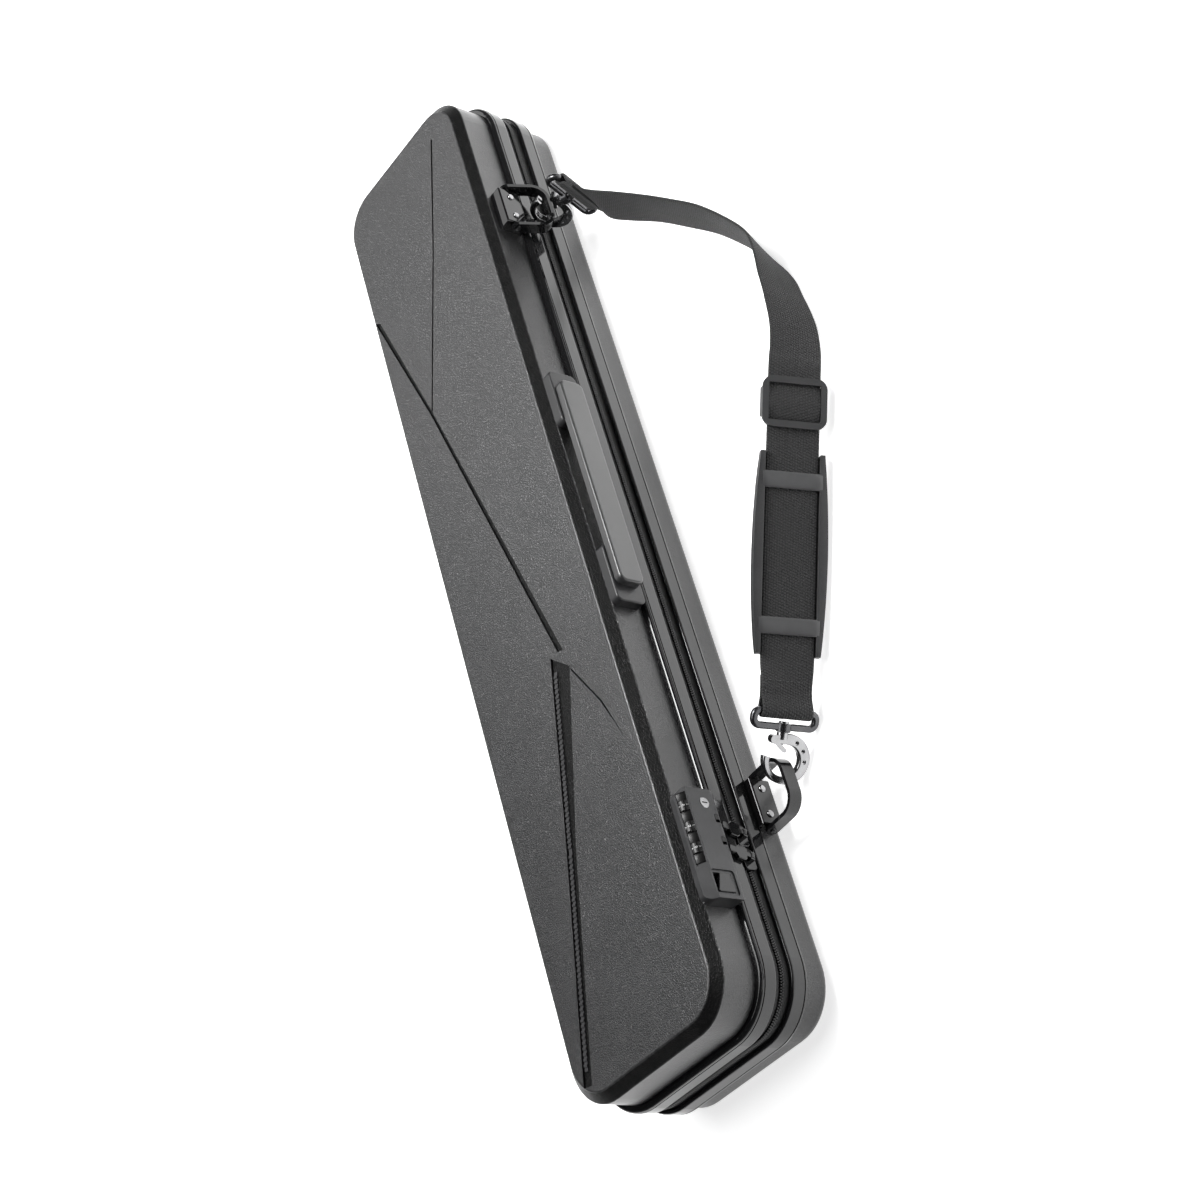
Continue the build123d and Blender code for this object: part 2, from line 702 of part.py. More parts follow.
# Release button, taller at its outer end, and the spring behind it
button_near = button_x + button_long / 2
button_far = button_x - button_long / 2
button_low = button_height - button_tall_side / 2
with BuildPart() as release_button:
    with BuildSketch(Plane.XZ.offset(-button_back_y)):
        with BuildLine():
            Polyline((button_near, button_low + 1), (button_near, button_low + 1 + button_short_side),
                     (button_far, button_low + button_tall_side), (button_far, button_low), close=True)
        make_face()
    extrude(amount=button_depth)
    fillet(release_button.edges().filter_by(Axis.Y), 1.2)
    fillet(release_button.faces().sort_by(Axis.Y)[0].edges(), 0.6)
finish(release_button.part, "release_button")

spring_back_y = side_y - plate_thickness - seat_gap
spring_length = spring_back_y - button_back_y - button_travel - piece_gap
with BuildPart() as button_spring:
    with Locations(Location((button_x, spring_back_y, button_height), across_y)):
        Cylinder(spring_radius, spring_length, align=upward)
        Cylinder(spring_radius - spring_wire, spring_length, align=upward,
                 mode=Mode.SUBTRACT)
finish(button_spring.part, "button_spring")

with BuildPart() as catch_bar:
    with Locations((catch_low_x, catch_back_y, catch_low)):
        Box(catch_length, catch_thickness, catch_height, align=(Align.MIN, Align.MAX, Align.MIN))
    for x in catch_hooks:
        with Locations((x, catch_back_y, catch_low)):
            Box(catch_hook_width, catch_back_y - lock_front_y, catch_height,
                align=(Align.CENTER, Align.MAX, Align.MIN))
finish(catch_bar.part, "catch_bar")

# Zip sliders on the front straight, each with a bridge that carries its leaning puller
slider_back_y = side_y - coil_outer - piece_gap
slider_face_y = slider_back_y - slider_thickness
pivot_y = side_y - puller_pivot_out
lean_across = Vector(cos(radians(puller_lean)), 0, -sin(radians(puller_lean)))
eye_length = bridge_inner - 2 * piece_gap
for i, x in enumerate(slider_x):
    pull_plane = Plane(origin=(x, pivot_y, parting_height), x_dir=lean_across, z_dir=(0, -1, 0))
    pin_plane = Plane(origin=(x, pivot_y, parting_height), x_dir=(0, -1, 0), z_dir=lean_across)
    with BuildPart() as slider:
        with BuildSketch(Plane.XZ.offset(-slider_back_y)):
            with Locations((x, parting_height)):
                RectangleRounded(slider_length, slider_height, slider_corner)
        extrude(amount=slider_thickness)
        fillet(slider.faces().sort_by(Axis.Y)[0].edges(), 0.7)
        for side in (-1, 1):
            cheek_x = side * (bridge_inner + bridge_cheek) / 2
            with Locations(pull_plane):
                with Locations((cheek_x, 0, pin_radius + 0.8)):
                    Box(bridge_cheek, bridge_height, slider_face_y - pivot_y + pin_radius + 1.1,
                        align=downward)
        with Locations(pin_plane):
            Cylinder(pin_radius, bridge_inner + bridge_cheek)
    finish(slider.part, f"zip_slider_{i + 1}")

    with BuildPart() as puller:
        with BuildSketch(pull_plane.offset(-puller_thickness / 2)):
            with BuildLine():
                Polyline((-puller_width / 2 + 2, puller_low), (puller_width / 2 - 2, puller_low),
                         (puller_width / 2, puller_low + 2), (puller_width / 2, puller_shoulder - 2.4),
                         (puller_tip_width / 2, puller_shoulder), (puller_tip_width / 2, puller_length - 1),
                         (puller_tip_width / 2 - 1, puller_length),
                         (1 - puller_tip_width / 2, puller_length),
                         (-puller_tip_width / 2, puller_length - 1),
                         (-puller_tip_width / 2, puller_shoulder),
                         (-puller_width / 2, puller_shoulder - 2.4), (-puller_width / 2, puller_low + 2),
                         close=True)
            make_face()
        extrude(amount=puller_thickness)
        chamfer(puller.faces().sort_by(Axis.Y)[0].edges(), 0.5)
        with Locations(pin_plane):
            Cylinder(puller_eye_radius, eye_length)
        with Locations(pull_plane):
            Box(eye_length, puller_low + 1, puller_thickness, align=inward)
        with Locations(pin_plane):
            Cylinder(pin_radius + bore_gap, 3 * bridge_inner, mode=Mode.SUBTRACT)
    finish(puller.part, f"zip_puller_{i + 1}")

# Ring mounts: block, stub pins, rivets and the U-shaped loop of flat band
ring_pivot_y = side_y - ring_pivot_out
block_face_y = side_y - block_reach
for name in ring_names:
    x = ring_x[name]
    pivot = Vector(x, ring_pivot_y, ring_pivot_z[name])
    wall_low, wall_high = block_wall_z[name]
    face_low, face_high = block_face_z[name]
    with BuildPart() as ring_block:
        with Locations((x, side_y, wall_low)):
            Box(block_length, rim_reach + 1, wall_high - wall_low,
                align=(Align.CENTER, Align.MAX, Align.MIN))
        with Locations((x, side_y - rim_reach - piece_gap, face_low)):
            Box(block_length, block_reach - rim_reach - piece_gap, face_high - face_low,
                align=(Align.CENTER, Align.MAX, Align.MIN))
        fillet(ring_block.faces().sort_by(Axis.Y)[0].edges(), block_edge_round)
        for side in (-1, 1):
            with Locations(Location((x + side * rivet_spacing / 2, side_y, rivet_z[name]), across_y)):
                Cylinder(rivet_radius + seat_gap, 4 * block_reach, mode=Mode.SUBTRACT)
            with Locations(Location((x + side * block_length / 2, pivot.Y, pivot.Z), along_x)):
                Cylinder(ring_pin_radius + bore_gap, ring_pin_length, mode=Mode.SUBTRACT)
    finish(ring_block.part, f"{name}_ring_block")

    with BuildPart() as ring_pins:
        for side in (-1, 1):
            with Locations(Location((x + side * block_length / 2, pivot.Y, pivot.Z), along_x)):
                Cylinder(ring_pin_radius, ring_pin_length - 2 * seat_gap)
    finish(ring_pins.part, f"{name}_ring_pins")

    with BuildPart() as ring_rivets:
        for side in (-1, 1):
            with Locations(Location((x + side * rivet_spacing / 2, block_face_y, rivet_z[name]), across_y)):
                Cylinder(rivet_radius, block_reach + shell_wall, align=downward)
                Cylinder(rivet_head_radius, rivet_head_height, align=upward)
        fillet(ring_rivets.faces().sort_by(Axis.Y)[0:2].edges(), 0.8 * rivet_head_height)
    finish(ring_rivets.part, f"{name}_ring_rivets")

    tilt = radians(ring_tilt[name])
    loop_plane = Plane(origin=pivot, x_dir=(1, 0, 0), z_dir=(0, sin(tilt), -cos(tilt)))
    with BuildPart() as ring_loop:
        with BuildSketch(loop_plane):
            RectangleRounded(ring_width, 2 * ring_reach, ring_corner)
            with Locations((0, -ring_thickness)):
                RectangleRounded(ring_width - 2 * ring_thickness, 2 * ring_reach,
                                 ring_corner - ring_thickness, mode=Mode.SUBTRACT)
            Rectangle(2 * ring_width, 2 * ring_reach, align=(Align.CENTER, Align.MAX), mode=Mode.SUBTRACT)
        extrude(amount=ring_band / 2, both=True)
        for side in (-1, 1):
            leg_x = x + side * (ring_width - ring_thickness) / 2
            with Locations(Location((leg_x, pivot.Y, pivot.Z), along_x)):
                Cylinder(ring_band / 2, ring_thickness)
                Cylinder(ring_pin_radius + bore_gap, 2 * ring_thickness, mode=Mode.SUBTRACT)
    finish(ring_loop.part, f"{name}_ring_loop")


# Across the webbing, for a run in the given direction that leans from upright
def width_direction(run, lean):
    outward = Vector(run.Y, -run.X, 0).normalized()
    across = outward * sin(radians(lean)) - Vector(0, 0, cos(radians(lean)))
    return (across - run * across.dot(run)).normalized()


# Plane of a snap hook: local x from bar to nose, local y along the bar
def hook_plane(bar, target, run, lean):
    reach = (target - bar).normalized()
    across = width_direction(run, lean)
    across = (across - reach * across.dot(reach)).normalized()
    return Plane(origin=bar, x_dir=reach, z_dir=reach.cross(across))


# Place of a strap point, which is given as distance out from the side
def path_place(point):
    return Vector(point[0], side_y - point[1], point[2])


straight_run = (straight_end - lower_bar).normalized()
upper_run = (upper_bar - path_place(upper_path[-1])).normalized()
hook_planes = {
    "lower": hook_plane(lower_bar, lower_hook_target, straight_run, lower_hook_lean),
    "upper": hook_plane(upper_bar, upper_hook_target, upper_run, upper_hook_lean),
}
loop_middle = hook_loop_length / 2 - hook_wire / 2
for name, plane in hook_planes.items():
    stem_plane = Plane(origin=plane.origin, x_dir=plane.z_dir, z_dir=plane.x_dir)
    with BuildPart() as hook_loop:
        with BuildSketch(plane):
            with Locations((loop_middle, 0)):
                RectangleRounded(hook_loop_length, hook_loop_width, hook_loop_corner)
                RectangleRounded(hook_loop_length - 2 * hook_wire, hook_loop_width - 2 * hook_wire,
                                 hook_loop_corner - hook_wire, mode=Mode.SUBTRACT)
        extrude(amount=hook_wire / 2, both=True)
        flat_faces = hook_loop.faces().filter_by(Plane(origin=(0, 0, 0), z_dir=plane.z_dir))
        fillet(flat_faces.edges(), hook_wire_round)
        with Locations(stem_plane.offset(hook_loop_length - 1.5 * hook_wire)):
            Cylinder(boss_radius, boss_end - hook_loop_length + 1.5 * hook_wire,
                     align=upward)
            Cylinder(stem_radius + bore_gap, 2 * boss_end, mode=Mode.SUBTRACT)
    finish(hook_loop.part, f"{name}_hook_loop")

    mouth_points = [hook_inner_centre]
    for angle in hook_mouth_angles:
        mouth_points.append((hook_inner_centre[0] + 3 * hook_outer_radius * cos(radians(angle)),
                             hook_inner_centre[1] + 3 * hook_outer_radius * sin(radians(angle))))
    slot_points = [gate_pivot]
    for angle in gate_angles:
        slot_points.append((gate_pivot[0] + 2 * gate_length * cos(radians(angle)),
                            gate_pivot[1] + 2 * gate_length * sin(radians(angle))))
    with BuildPart() as hook_body:
        with BuildSketch(plane):
            with Locations(hook_outer_centre):
                Circle(hook_outer_radius)
            with Locations(hook_inner_centre):
                Circle(hook_inner_radius, mode=Mode.SUBTRACT)
        extrude(amount=hook_thickness / 2, both=True)
        fillet(hook_body.edges().filter_by(GeomType.CIRCLE), hook_edge_round)
        with BuildSketch(plane):
            with BuildLine():
                Polyline(*mouth_points, close=True)
            make_face()
        extrude(amount=hook_thickness, both=True, mode=Mode.SUBTRACT)
        with BuildSketch(plane):
            with Locations(gate_pivot):
                Circle(gate_eye)
            with Locations(((gate_pivot[0] + neck_end) / 2 - 0.2, gate_pivot[1] / 2)):
                Rectangle(1.7 * gate_eye, -gate_pivot[1] + 2)
        extrude(amount=hook_thickness / 2, both=True)
        with Locations(stem_plane.offset(neck_start)):
            Cylinder(neck_radius, neck_end - neck_start, align=upward)
        with Locations(stem_plane.offset(stem_head_start)):
            Cylinder(stem_radius, neck_start - stem_head_start + 1, align=upward)
            Cylinder(stem_head_radius, stem_head_height, align=upward)
        with BuildSketch(plane):
            for angle in hook_hole_angles:
                with Locations((hook_inner_centre[0] + hook_hole_ring * cos(radians(angle)),
                                hook_inner_centre[1] + hook_hole_ring * sin(radians(angle)))):
                    Circle(hook_hole_radius)
        extrude(amount=hook_thickness, both=True, mode=Mode.SUBTRACT)
        # Slot in which the gate turns, then the gate's pin across it
        with BuildSketch(plane):
            with BuildLine():
                Polyline(*slot_points, close=True)
            make_face()
            with Locations(gate_pivot):
                Circle(gate_length + gate_width, mode=Mode.INTERSECT)
                Circle(gate_hub + piece_gap)
            for angle in gate_angles:
                with Locations(Location((*gate_pivot, 0), (0, 0, angle))):
                    Rectangle(gate_length + gate_width, gate_width + 2 * piece_gap,
                              align=(Align.MIN, Align.CENTER))
        extrude(amount=gate_slot / 2, both=True, mode=Mode.SUBTRACT)
        with BuildSketch(plane):
            with Locations(gate_pivot):
                Circle(gate_pin)
        extrude(amount=hook_thickness / 2, both=True)
    finish(hook_body.part, f"{name}_hook_body")

    gate_plane = Plane(plane.location * Location((*gate_pivot, 0), (0, 0, gate_angles[0])))
    with BuildPart() as hook_gate:
        with BuildSketch(gate_plane):
            Circle(gate_hub)
            with Locations((gate_length / 2, 0)):
                Rectangle(gate_length, gate_width)
            with Locations((gate_length, 0)):
                Circle(gate_width / 2)
            Circle(gate_pin + bore_gap, mode=Mode.SUBTRACT)
        extrude(amount=gate_thickness / 2, both=True)
    finish(hook_gate.part, f"{name}_hook_gate")


# Webbing through a row of points, each with its lean
def webbing(points):
    directions = [(b[0] - a[0]).normalized() for a, b in zip(points[:-1], points[1:])]
    runs = [directions[0]]
    runs += [(a + b).normalized() for a, b in zip(directions[:-1], directions[1:])]
    runs.append(directions[-1])
    with BuildPart() as piece:
        for (place, lean), run in zip(points, runs):
            with BuildSketch(Plane(origin=place, x_dir=width_direction(run, lean), z_dir=run)):
                Rectangle(webbing_width, webbing_thickness)
        loft(ruled=True)
    return piece.part


# Direction in which the webbing leaves a hook's bar
def leaving(plane, run):
    return (run - plane.y_dir * run.dot(plane.y_dir)).normalized()


# Folded end of the webbing, round a hook's bar
def webbing_end(plane, out):
    with BuildPart() as piece:
        with BuildSketch(Plane(origin=plane.origin, x_dir=out, z_dir=plane.y_dir)):
            Circle(webbing_eye_inner + webbing_thickness)
            with Locations((webbing_tab_length / 2, 0)):
                Rectangle(webbing_tab_length, webbing_tab_thickness)
            Circle(webbing_eye_inner, mode=Mode.SUBTRACT)
        extrude(amount=webbing_width / 2, both=True)
    return piece.part


split_start = path_place(lower_path[-1])
split_end = path_place(upper_path[0])
split_place = (split_start + split_end) / 2
split_half = (split_end - split_start).normalized() * strap_gap / 2
split_lean = (lower_path[-1][3] + upper_path[0][3]) / 2
lower_out = leaving(hook_planes["lower"], straight_run)
upper_out = leaving(hook_planes["upper"], upper_run * -1)
lower_webbing = webbing([
    (lower_bar + lower_out * (webbing_tab_length - 2), straight_lean),
    (lower_bar + straight_run * 2.4 * webbing_tab_length, straight_lean),
    (straight_end, straight_lean),
    *[(path_place(point), point[3]) for point in lower_path],
    (split_place - split_half, split_lean),
])
upper_webbing = webbing([
    (split_place + split_half, split_lean),
    *[(path_place(point), point[3]) for point in upper_path],
    (upper_bar + upper_out * (webbing_tab_length - 2), upper_lean),
])
lower_end = webbing_end(hook_planes["lower"], lower_out)
upper_end = webbing_end(hook_planes["upper"], upper_out)
with BuildPart() as strap_lower:
    add(lower_webbing)
    add(lower_end)
finish(strap_lower.part, "strap_lower")
with BuildPart() as strap_upper:
    add(upper_webbing)
    add(upper_end)
finish(strap_upper.part, "strap_upper")

# Adjuster: a frame over the strap, with a bar behind it
straight_width = width_direction(straight_run, straight_lean)
straight_face = straight_width.cross(straight_run)
strap_clear = webbing_thickness / 2 + piece_gap
rail_inner = webbing_width / 2 + piece_gap
adjuster_middle = lower_bar + straight_run * adjuster_place
adjuster_plane = Plane(origin=adjuster_middle, x_dir=straight_run, z_dir=straight_face)
adjuster_width = 2 * (rail_inner + adjuster_side)
with BuildPart() as strap_adjuster:
    with BuildSketch(adjuster_plane.offset(strap_clear)):
        RectangleRounded(adjuster_length, adjuster_width, 2 * adjuster_side)
        Rectangle(adjuster_length - 2 * adjuster_bar, 2 * rail_inner - 1, mode=Mode.SUBTRACT)
    extrude(amount=adjuster_half - strap_clear)
    with Locations(adjuster_plane):
        with Locations((0, rail_inner + adjuster_side / 2, 0), (0, -rail_inner - adjuster_side / 2, 0)):
            Box(adjuster_length - 4 * adjuster_side, adjuster_side, 2 * adjuster_half)
        with Locations((0, 0, -strap_clear)):
            Box(adjuster_bar, adjuster_width - adjuster_side, adjuster_half - strap_clear,
                align=downward)
finish(strap_adjuster.part, "strap_adjuster")

# Shoulder pad: a bowed tray with two bands over the strap
pad_plane = Plane(origin=lower_bar + straight_run * pad_place, x_dir=straight_run, z_dir=straight_face)
pad_half = pad_length / 2
pad_end = pad_end_width / 2
pad_low = strap_clear + pad_back
with BuildPart() as shoulder_pad:
    with BuildSketch(pad_plane.offset(-pad_low)):
        with BuildLine():
            Line((pad_half, -pad_end), (pad_half, pad_end))
            ThreePointArc((pad_half, pad_end), (0, pad_mid_width / 2), (-pad_half, pad_end))
            Line((-pad_half, pad_end), (-pad_half, -pad_end))
            ThreePointArc((-pad_half, -pad_end), (0, -pad_mid_width / 2), (pad_half, -pad_end))
        make_face()
    extrude(amount=pad_low + pad_rim_rise)
    with Locations(pad_plane):
        with Locations((0, 0, -strap_clear)):
            Box(2 * pad_length, 2 * rail_inner, 4 * pad_low, align=upward,
                mode=Mode.SUBTRACT)
        band_place = pad_half - pad_band_inset - pad_band_width / 2
        with Locations((band_place, 0, strap_clear), (-band_place, 0, strap_clear)):
            Box(pad_band_width, 2 * rail_inner + 4, pad_band_thickness, align=upward)
finish(shoulder_pad.part, "shoulder_pad")
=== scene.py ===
import bpy
import math
from mathutils import Matrix, Vector


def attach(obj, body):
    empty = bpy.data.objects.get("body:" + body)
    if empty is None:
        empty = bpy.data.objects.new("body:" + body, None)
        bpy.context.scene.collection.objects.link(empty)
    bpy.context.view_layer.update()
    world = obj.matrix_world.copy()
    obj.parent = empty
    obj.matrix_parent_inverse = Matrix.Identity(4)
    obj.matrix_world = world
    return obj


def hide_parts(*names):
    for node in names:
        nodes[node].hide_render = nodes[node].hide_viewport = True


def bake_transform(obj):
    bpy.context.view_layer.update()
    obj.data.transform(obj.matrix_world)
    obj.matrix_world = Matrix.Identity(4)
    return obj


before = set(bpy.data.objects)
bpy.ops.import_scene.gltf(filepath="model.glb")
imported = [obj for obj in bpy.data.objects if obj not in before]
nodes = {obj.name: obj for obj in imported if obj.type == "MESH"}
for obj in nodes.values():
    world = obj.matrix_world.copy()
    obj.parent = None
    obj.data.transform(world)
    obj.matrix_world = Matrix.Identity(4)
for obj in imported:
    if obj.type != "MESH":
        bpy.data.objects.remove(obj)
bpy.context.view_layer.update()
print("frame loaded:", len(nodes), "nodes")


# small helpers

mergeReach = 0.00002


def deselect():
    if bpy.context.object and bpy.context.object.mode != "OBJECT":
        bpy.ops.object.mode_set(mode="OBJECT")
    bpy.ops.object.select_all(action="DESELECT")


def pick(*pieces):
    deselect()
    for piece in pieces:
        piece.select_set(True)
    bpy.context.view_layer.objects.active = pieces[0]


def settle(piece, name):
    # place goes into the mesh, so the object sits at the origin
    pick(piece)
    bpy.ops.object.transform_apply(location=True, rotation=True, scale=True)
    piece.name = name
    piece.data.name = name
    return piece


def modify(piece, kind, **settings):
    modifier = piece.modifiers.new(kind.title(), kind)
    for key, value in settings.items():
        setattr(modifier, key, value)
    pick(piece)
    bpy.ops.object.modifier_apply(modifier=modifier.name)


def smooth(piece, angle=35):
    pick(piece)
    bpy.ops.object.shade_smooth_by_angle(angle=math.radians(angle))


def meshPiece(name, points, faces, uvs=None):
    mesh = bpy.data.meshes.new(name)
    mesh.from_pydata(points, [], faces)
    if uvs:
        layer = mesh.uv_layers.new(name="UVMap")
        for loop in mesh.loops:
            layer.data[loop.index].uv = uvs[loop.vertex_index]
    mesh.validate()
    piece = bpy.data.objects.new(name, mesh)
    bpy.context.collection.objects.link(piece)
    return piece


def meshStep(piece, step, **settings):
    # one mesh operator over the whole piece
    pick(piece)
    bpy.ops.object.mode_set(mode="EDIT")
    bpy.ops.mesh.select_all(action="SELECT")
    getattr(bpy.ops.mesh, step)(**settings)
    bpy.ops.object.mode_set(mode="OBJECT")


def faceOut(piece):
    meshStep(piece, "normals_make_consistent", inside=False)


def axesMatrix(xAxis, yAxis, zAxis, place):
    columns = (xAxis, yAxis, zAxis, place)
    return Matrix([[column[i] for column in columns] for i in range(3)] + [[0, 0, 0, 1]])


def copyNode(node, name):
    # a working copy of a CAD node, merged and free of its place in the frame
    pick(nodes[node])
    bpy.ops.object.duplicate()
    piece = bpy.context.object
    world = piece.matrix_world.copy()
    piece.parent = None
    piece.matrix_world = world
    piece.data.materials.clear()
    settle(piece, name)
    meshStep(piece, "remove_doubles", threshold=mergeReach)
    faceOut(piece)
    return piece


def copiesAlong(template, places, name):
    # one small part repeated: every copy has its own faces, all in one mesh
    source = template.data
    points, faces = [], []
    for place in places:
        first = len(points)
        points += [place @ v.co for v in source.vertices]
        faces += [[first + i for i in f.vertices] for f in source.polygons]
    piece = meshPiece(name, points, faces)
    bpy.data.objects.remove(template)
    return piece


# shared effects, as node groups

def addNode(tree, kind, inputs=None, **settings):
    node = tree.nodes.new(kind)
    for key, value in settings.items():
        setattr(node, key, value)
    for key, value in (inputs or {}).items():
        if isinstance(value, bpy.types.NodeSocket):
            tree.links.new(value, node.inputs[key])
        else:
            node.inputs[key].default_value = value
    return node


def calc(tree, operation, a, b=0.0, c=0.0, clamp=False):
    node = addNode(tree, "ShaderNodeMath", {0: a, 1: b, 2: c}, operation=operation, use_clamp=clamp)
    return node.outputs[0]


def newGroup(name, inputs, outputs):
    tree = bpy.data.node_groups.new(name, "ShaderNodeTree")
    for label, kind, value in inputs:
        socket = tree.interface.new_socket(label, in_out="INPUT", socket_type=kind)
        if value is not None:
            socket.default_value = value
    for label in outputs:
        tree.interface.new_socket(label, in_out="OUTPUT", socket_type="NodeSocketFloat")
    return tree, tree.nodes.new("NodeGroupInput").outputs, tree.nodes.new("NodeGroupOutput").inputs


floatSocket, vectorSocket = "NodeSocketFloat", "NodeSocketVector"

# moulded leather grain: small pebbles parted by shallow creases
grainEffect = {"driftScale": 160.0, "driftDetail": 2.0, "driftReach": 0.0011, "pebbleEdge": 0.22,
               "broadScale": 55.0, "broadDetail": 5.0, "broadHeight": 0.35, "pebbleTone": 0.45,
               "broadTone": 0.55}
leatherGrain, given, put = newGroup(
    "leatherGrain", [("Vector", vectorSocket, None), ("Scale", floatSocket, 800.0)], ["Height", "Tone"])
drift = addNode(leatherGrain, "ShaderNodeTexNoise",
                {"Vector": given["Vector"], "Scale": grainEffect["driftScale"],
                 "Detail": grainEffect["driftDetail"]})
shift = addNode(leatherGrain, "ShaderNodeVectorMath",
                {0: drift.outputs["Color"], "Scale": grainEffect["driftReach"]}, operation="SCALE")
moved = addNode(leatherGrain, "ShaderNodeVectorMath", {0: given["Vector"], 1: shift.outputs[0]},
                operation="ADD")
cells = addNode(leatherGrain, "ShaderNodeTexVoronoi", {"Vector": moved.outputs[0], "Scale": given["Scale"]},
                feature="DISTANCE_TO_EDGE")
pebble = addNode(leatherGrain, "ShaderNodeMapRange",
                 {"Value": cells.outputs["Distance"], 2: grainEffect["pebbleEdge"]},
                 interpolation_type="SMOOTHSTEP").outputs[0]
broad = addNode(leatherGrain, "ShaderNodeTexNoise",
                {"Vector": given["Vector"], "Scale": grainEffect["broadScale"],
                 "Detail": grainEffect["broadDetail"]}).outputs[0]
leatherGrain.links.new(calc(leatherGrain, "MULTIPLY_ADD", broad, grainEffect["broadHeight"], pebble),
                       put["Height"])
broadPart = calc(leatherGrain, "MULTIPLY", broad, grainEffect["broadTone"])
leatherGrain.links.new(calc(leatherGrain, "MULTIPLY_ADD", pebble, grainEffect["pebbleTone"], broadPart),
                       put["Tone"])

# fine tooth of moulded or sprayed surfaces
toothEffect = {"sandDetail": 3.0, "cloudScale": 90.0, "cloudDetail": 4.0, "cloudHeight": 0.5}
fineTooth, given, put = newGroup(
    "fineTooth", [("Vector", vectorSocket, None), ("Scale", floatSocket, 1600.0)], ["Height", "Tone"])
sand = addNode(fineTooth, "ShaderNodeTexNoise", {"Vector": given["Vector"], "Scale": given["Scale"],
                                                 "Detail": toothEffect["sandDetail"]}).outputs[0]
cloud = addNode(fineTooth, "ShaderNodeTexNoise",
                {"Vector": given["Vector"], "Scale": toothEffect["cloudScale"],
                 "Detail": toothEffect["cloudDetail"]}).outputs[0]
fineTooth.links.new(calc(fineTooth, "MULTIPLY_ADD", cloud, toothEffect["cloudHeight"], sand), put["Height"])
fineTooth.links.new(cloud, put["Tone"])

# rubbed spots and hairline scratches from handling
wearEffect = {"hairStretch": (1.0, 9.0, 9.0), "hairTurn": (0.3, 0.2, 0.5), "hairScale": 75.0,
              "hairDetail": 6.0, "hairRough": 0.7, "hairFrom": 0.62, "hairTo": 0.72, "hairShare": 0.6,
              "rubScale": 24.0, "rubDetail": 5.0, "rubFrom": 0.48, "rubTo": 0.7}
handlingWear, given, put = newGroup(
    "handlingWear", [("Vector", vectorSocket, None), ("Amount", floatSocket, 0.3)], ["Mask"])
stretch = addNode(handlingWear, "ShaderNodeMapping",
                  {"Vector": given["Vector"], "Scale": wearEffect["hairStretch"],
                   "Rotation": wearEffect["hairTurn"]})
hair = addNode(handlingWear, "ShaderNodeTexNoise",
               {"Vector": stretch.outputs[0], "Scale": wearEffect["hairScale"],
                "Detail": wearEffect["hairDetail"], "Roughness": wearEffect["hairRough"]})
hairMask = addNode(handlingWear, "ShaderNodeMapRange",
                   {"Value": hair.outputs[0], 1: wearEffect["hairFrom"], 2: wearEffect["hairTo"]})
rub = addNode(handlingWear, "ShaderNodeTexNoise",
              {"Vector": given["Vector"], "Scale": wearEffect["rubScale"], "Detail": wearEffect["rubDetail"]})
rubMask = addNode(handlingWear, "ShaderNodeMapRange",
                  {"Value": rub.outputs[0], 1: wearEffect["rubFrom"], 2: wearEffect["rubTo"]})
both = calc(handlingWear, "MULTIPLY_ADD", hairMask.outputs[0], wearEffect["hairShare"], rubMask.outputs[0])
handlingWear.links.new(calc(handlingWear, "MULTIPLY", both, given["Amount"], clamp=True), put["Mask"])

# staggered rows of yarn: x runs across the band, y along it, in metres
yarnEffect = {"stagger": 0.34, "rowPower": 0.6, "columnPower": 0.5, "fuzzScale": 900.0, "fuzzDetail": 3.0,
              "fuzzHeight": 0.25}
yarnRows, given, put = newGroup(
    "yarnRows",
    [("Vector", vectorSocket, None), ("Column", floatSocket, 0.0013), ("Row", floatSocket, 0.0011)],
    ["Height", "Tone"])
axes = addNode(yarnRows, "ShaderNodeSeparateXYZ", {0: given["Vector"]}).outputs
across = calc(yarnRows, "DIVIDE", axes[0], given["Column"])
stagger = calc(yarnRows, "MULTIPLY", calc(yarnRows, "FLOOR", across), yarnEffect["stagger"])
along = calc(yarnRows, "ADD", calc(yarnRows, "DIVIDE", axes[1], given["Row"]), stagger)


def yarnHump(value, power):
    # one rounded rise per whole step of the value
    wave = calc(yarnRows, "ABSOLUTE", calc(yarnRows, "SINE", calc(yarnRows, "MULTIPLY", value, math.pi)))
    return calc(yarnRows, "POWER", wave, power)


hump = calc(yarnRows, "MULTIPLY", yarnHump(along, yarnEffect["rowPower"]),
            yarnHump(across, yarnEffect["columnPower"]))
fuzz = addNode(yarnRows, "ShaderNodeTexNoise",
               {"Vector": given["Vector"], "Scale": yarnEffect["fuzzScale"],
                "Detail": yarnEffect["fuzzDetail"]}).outputs[0]
yarnRows.links.new(calc(yarnRows, "MULTIPLY_ADD", fuzz, yarnEffect["fuzzHeight"], hump), put["Height"])
yarnRows.links.new(hump, put["Tone"])


fadeSpots = {"scale": 35.0, "detail": 4.0}
yarnGloss, sheenRough = -0.15, 0.5


def newMaterial(name):
    material = bpy.data.materials.new(name)
    material.use_nodes = True
    tree = material.node_tree
    shader = tree.nodes["Principled BSDF"]
    place = addNode(tree, "ShaderNodeTexCoord")
    return material, tree, shader, place


def mixColour(tree, shadeMask, low, high):
    mix = addNode(tree, "ShaderNodeMix", {0: shadeMask, 6: (*low, 1), 7: (*high, 1)}, data_type="RGBA")
    return mix.outputs[2]


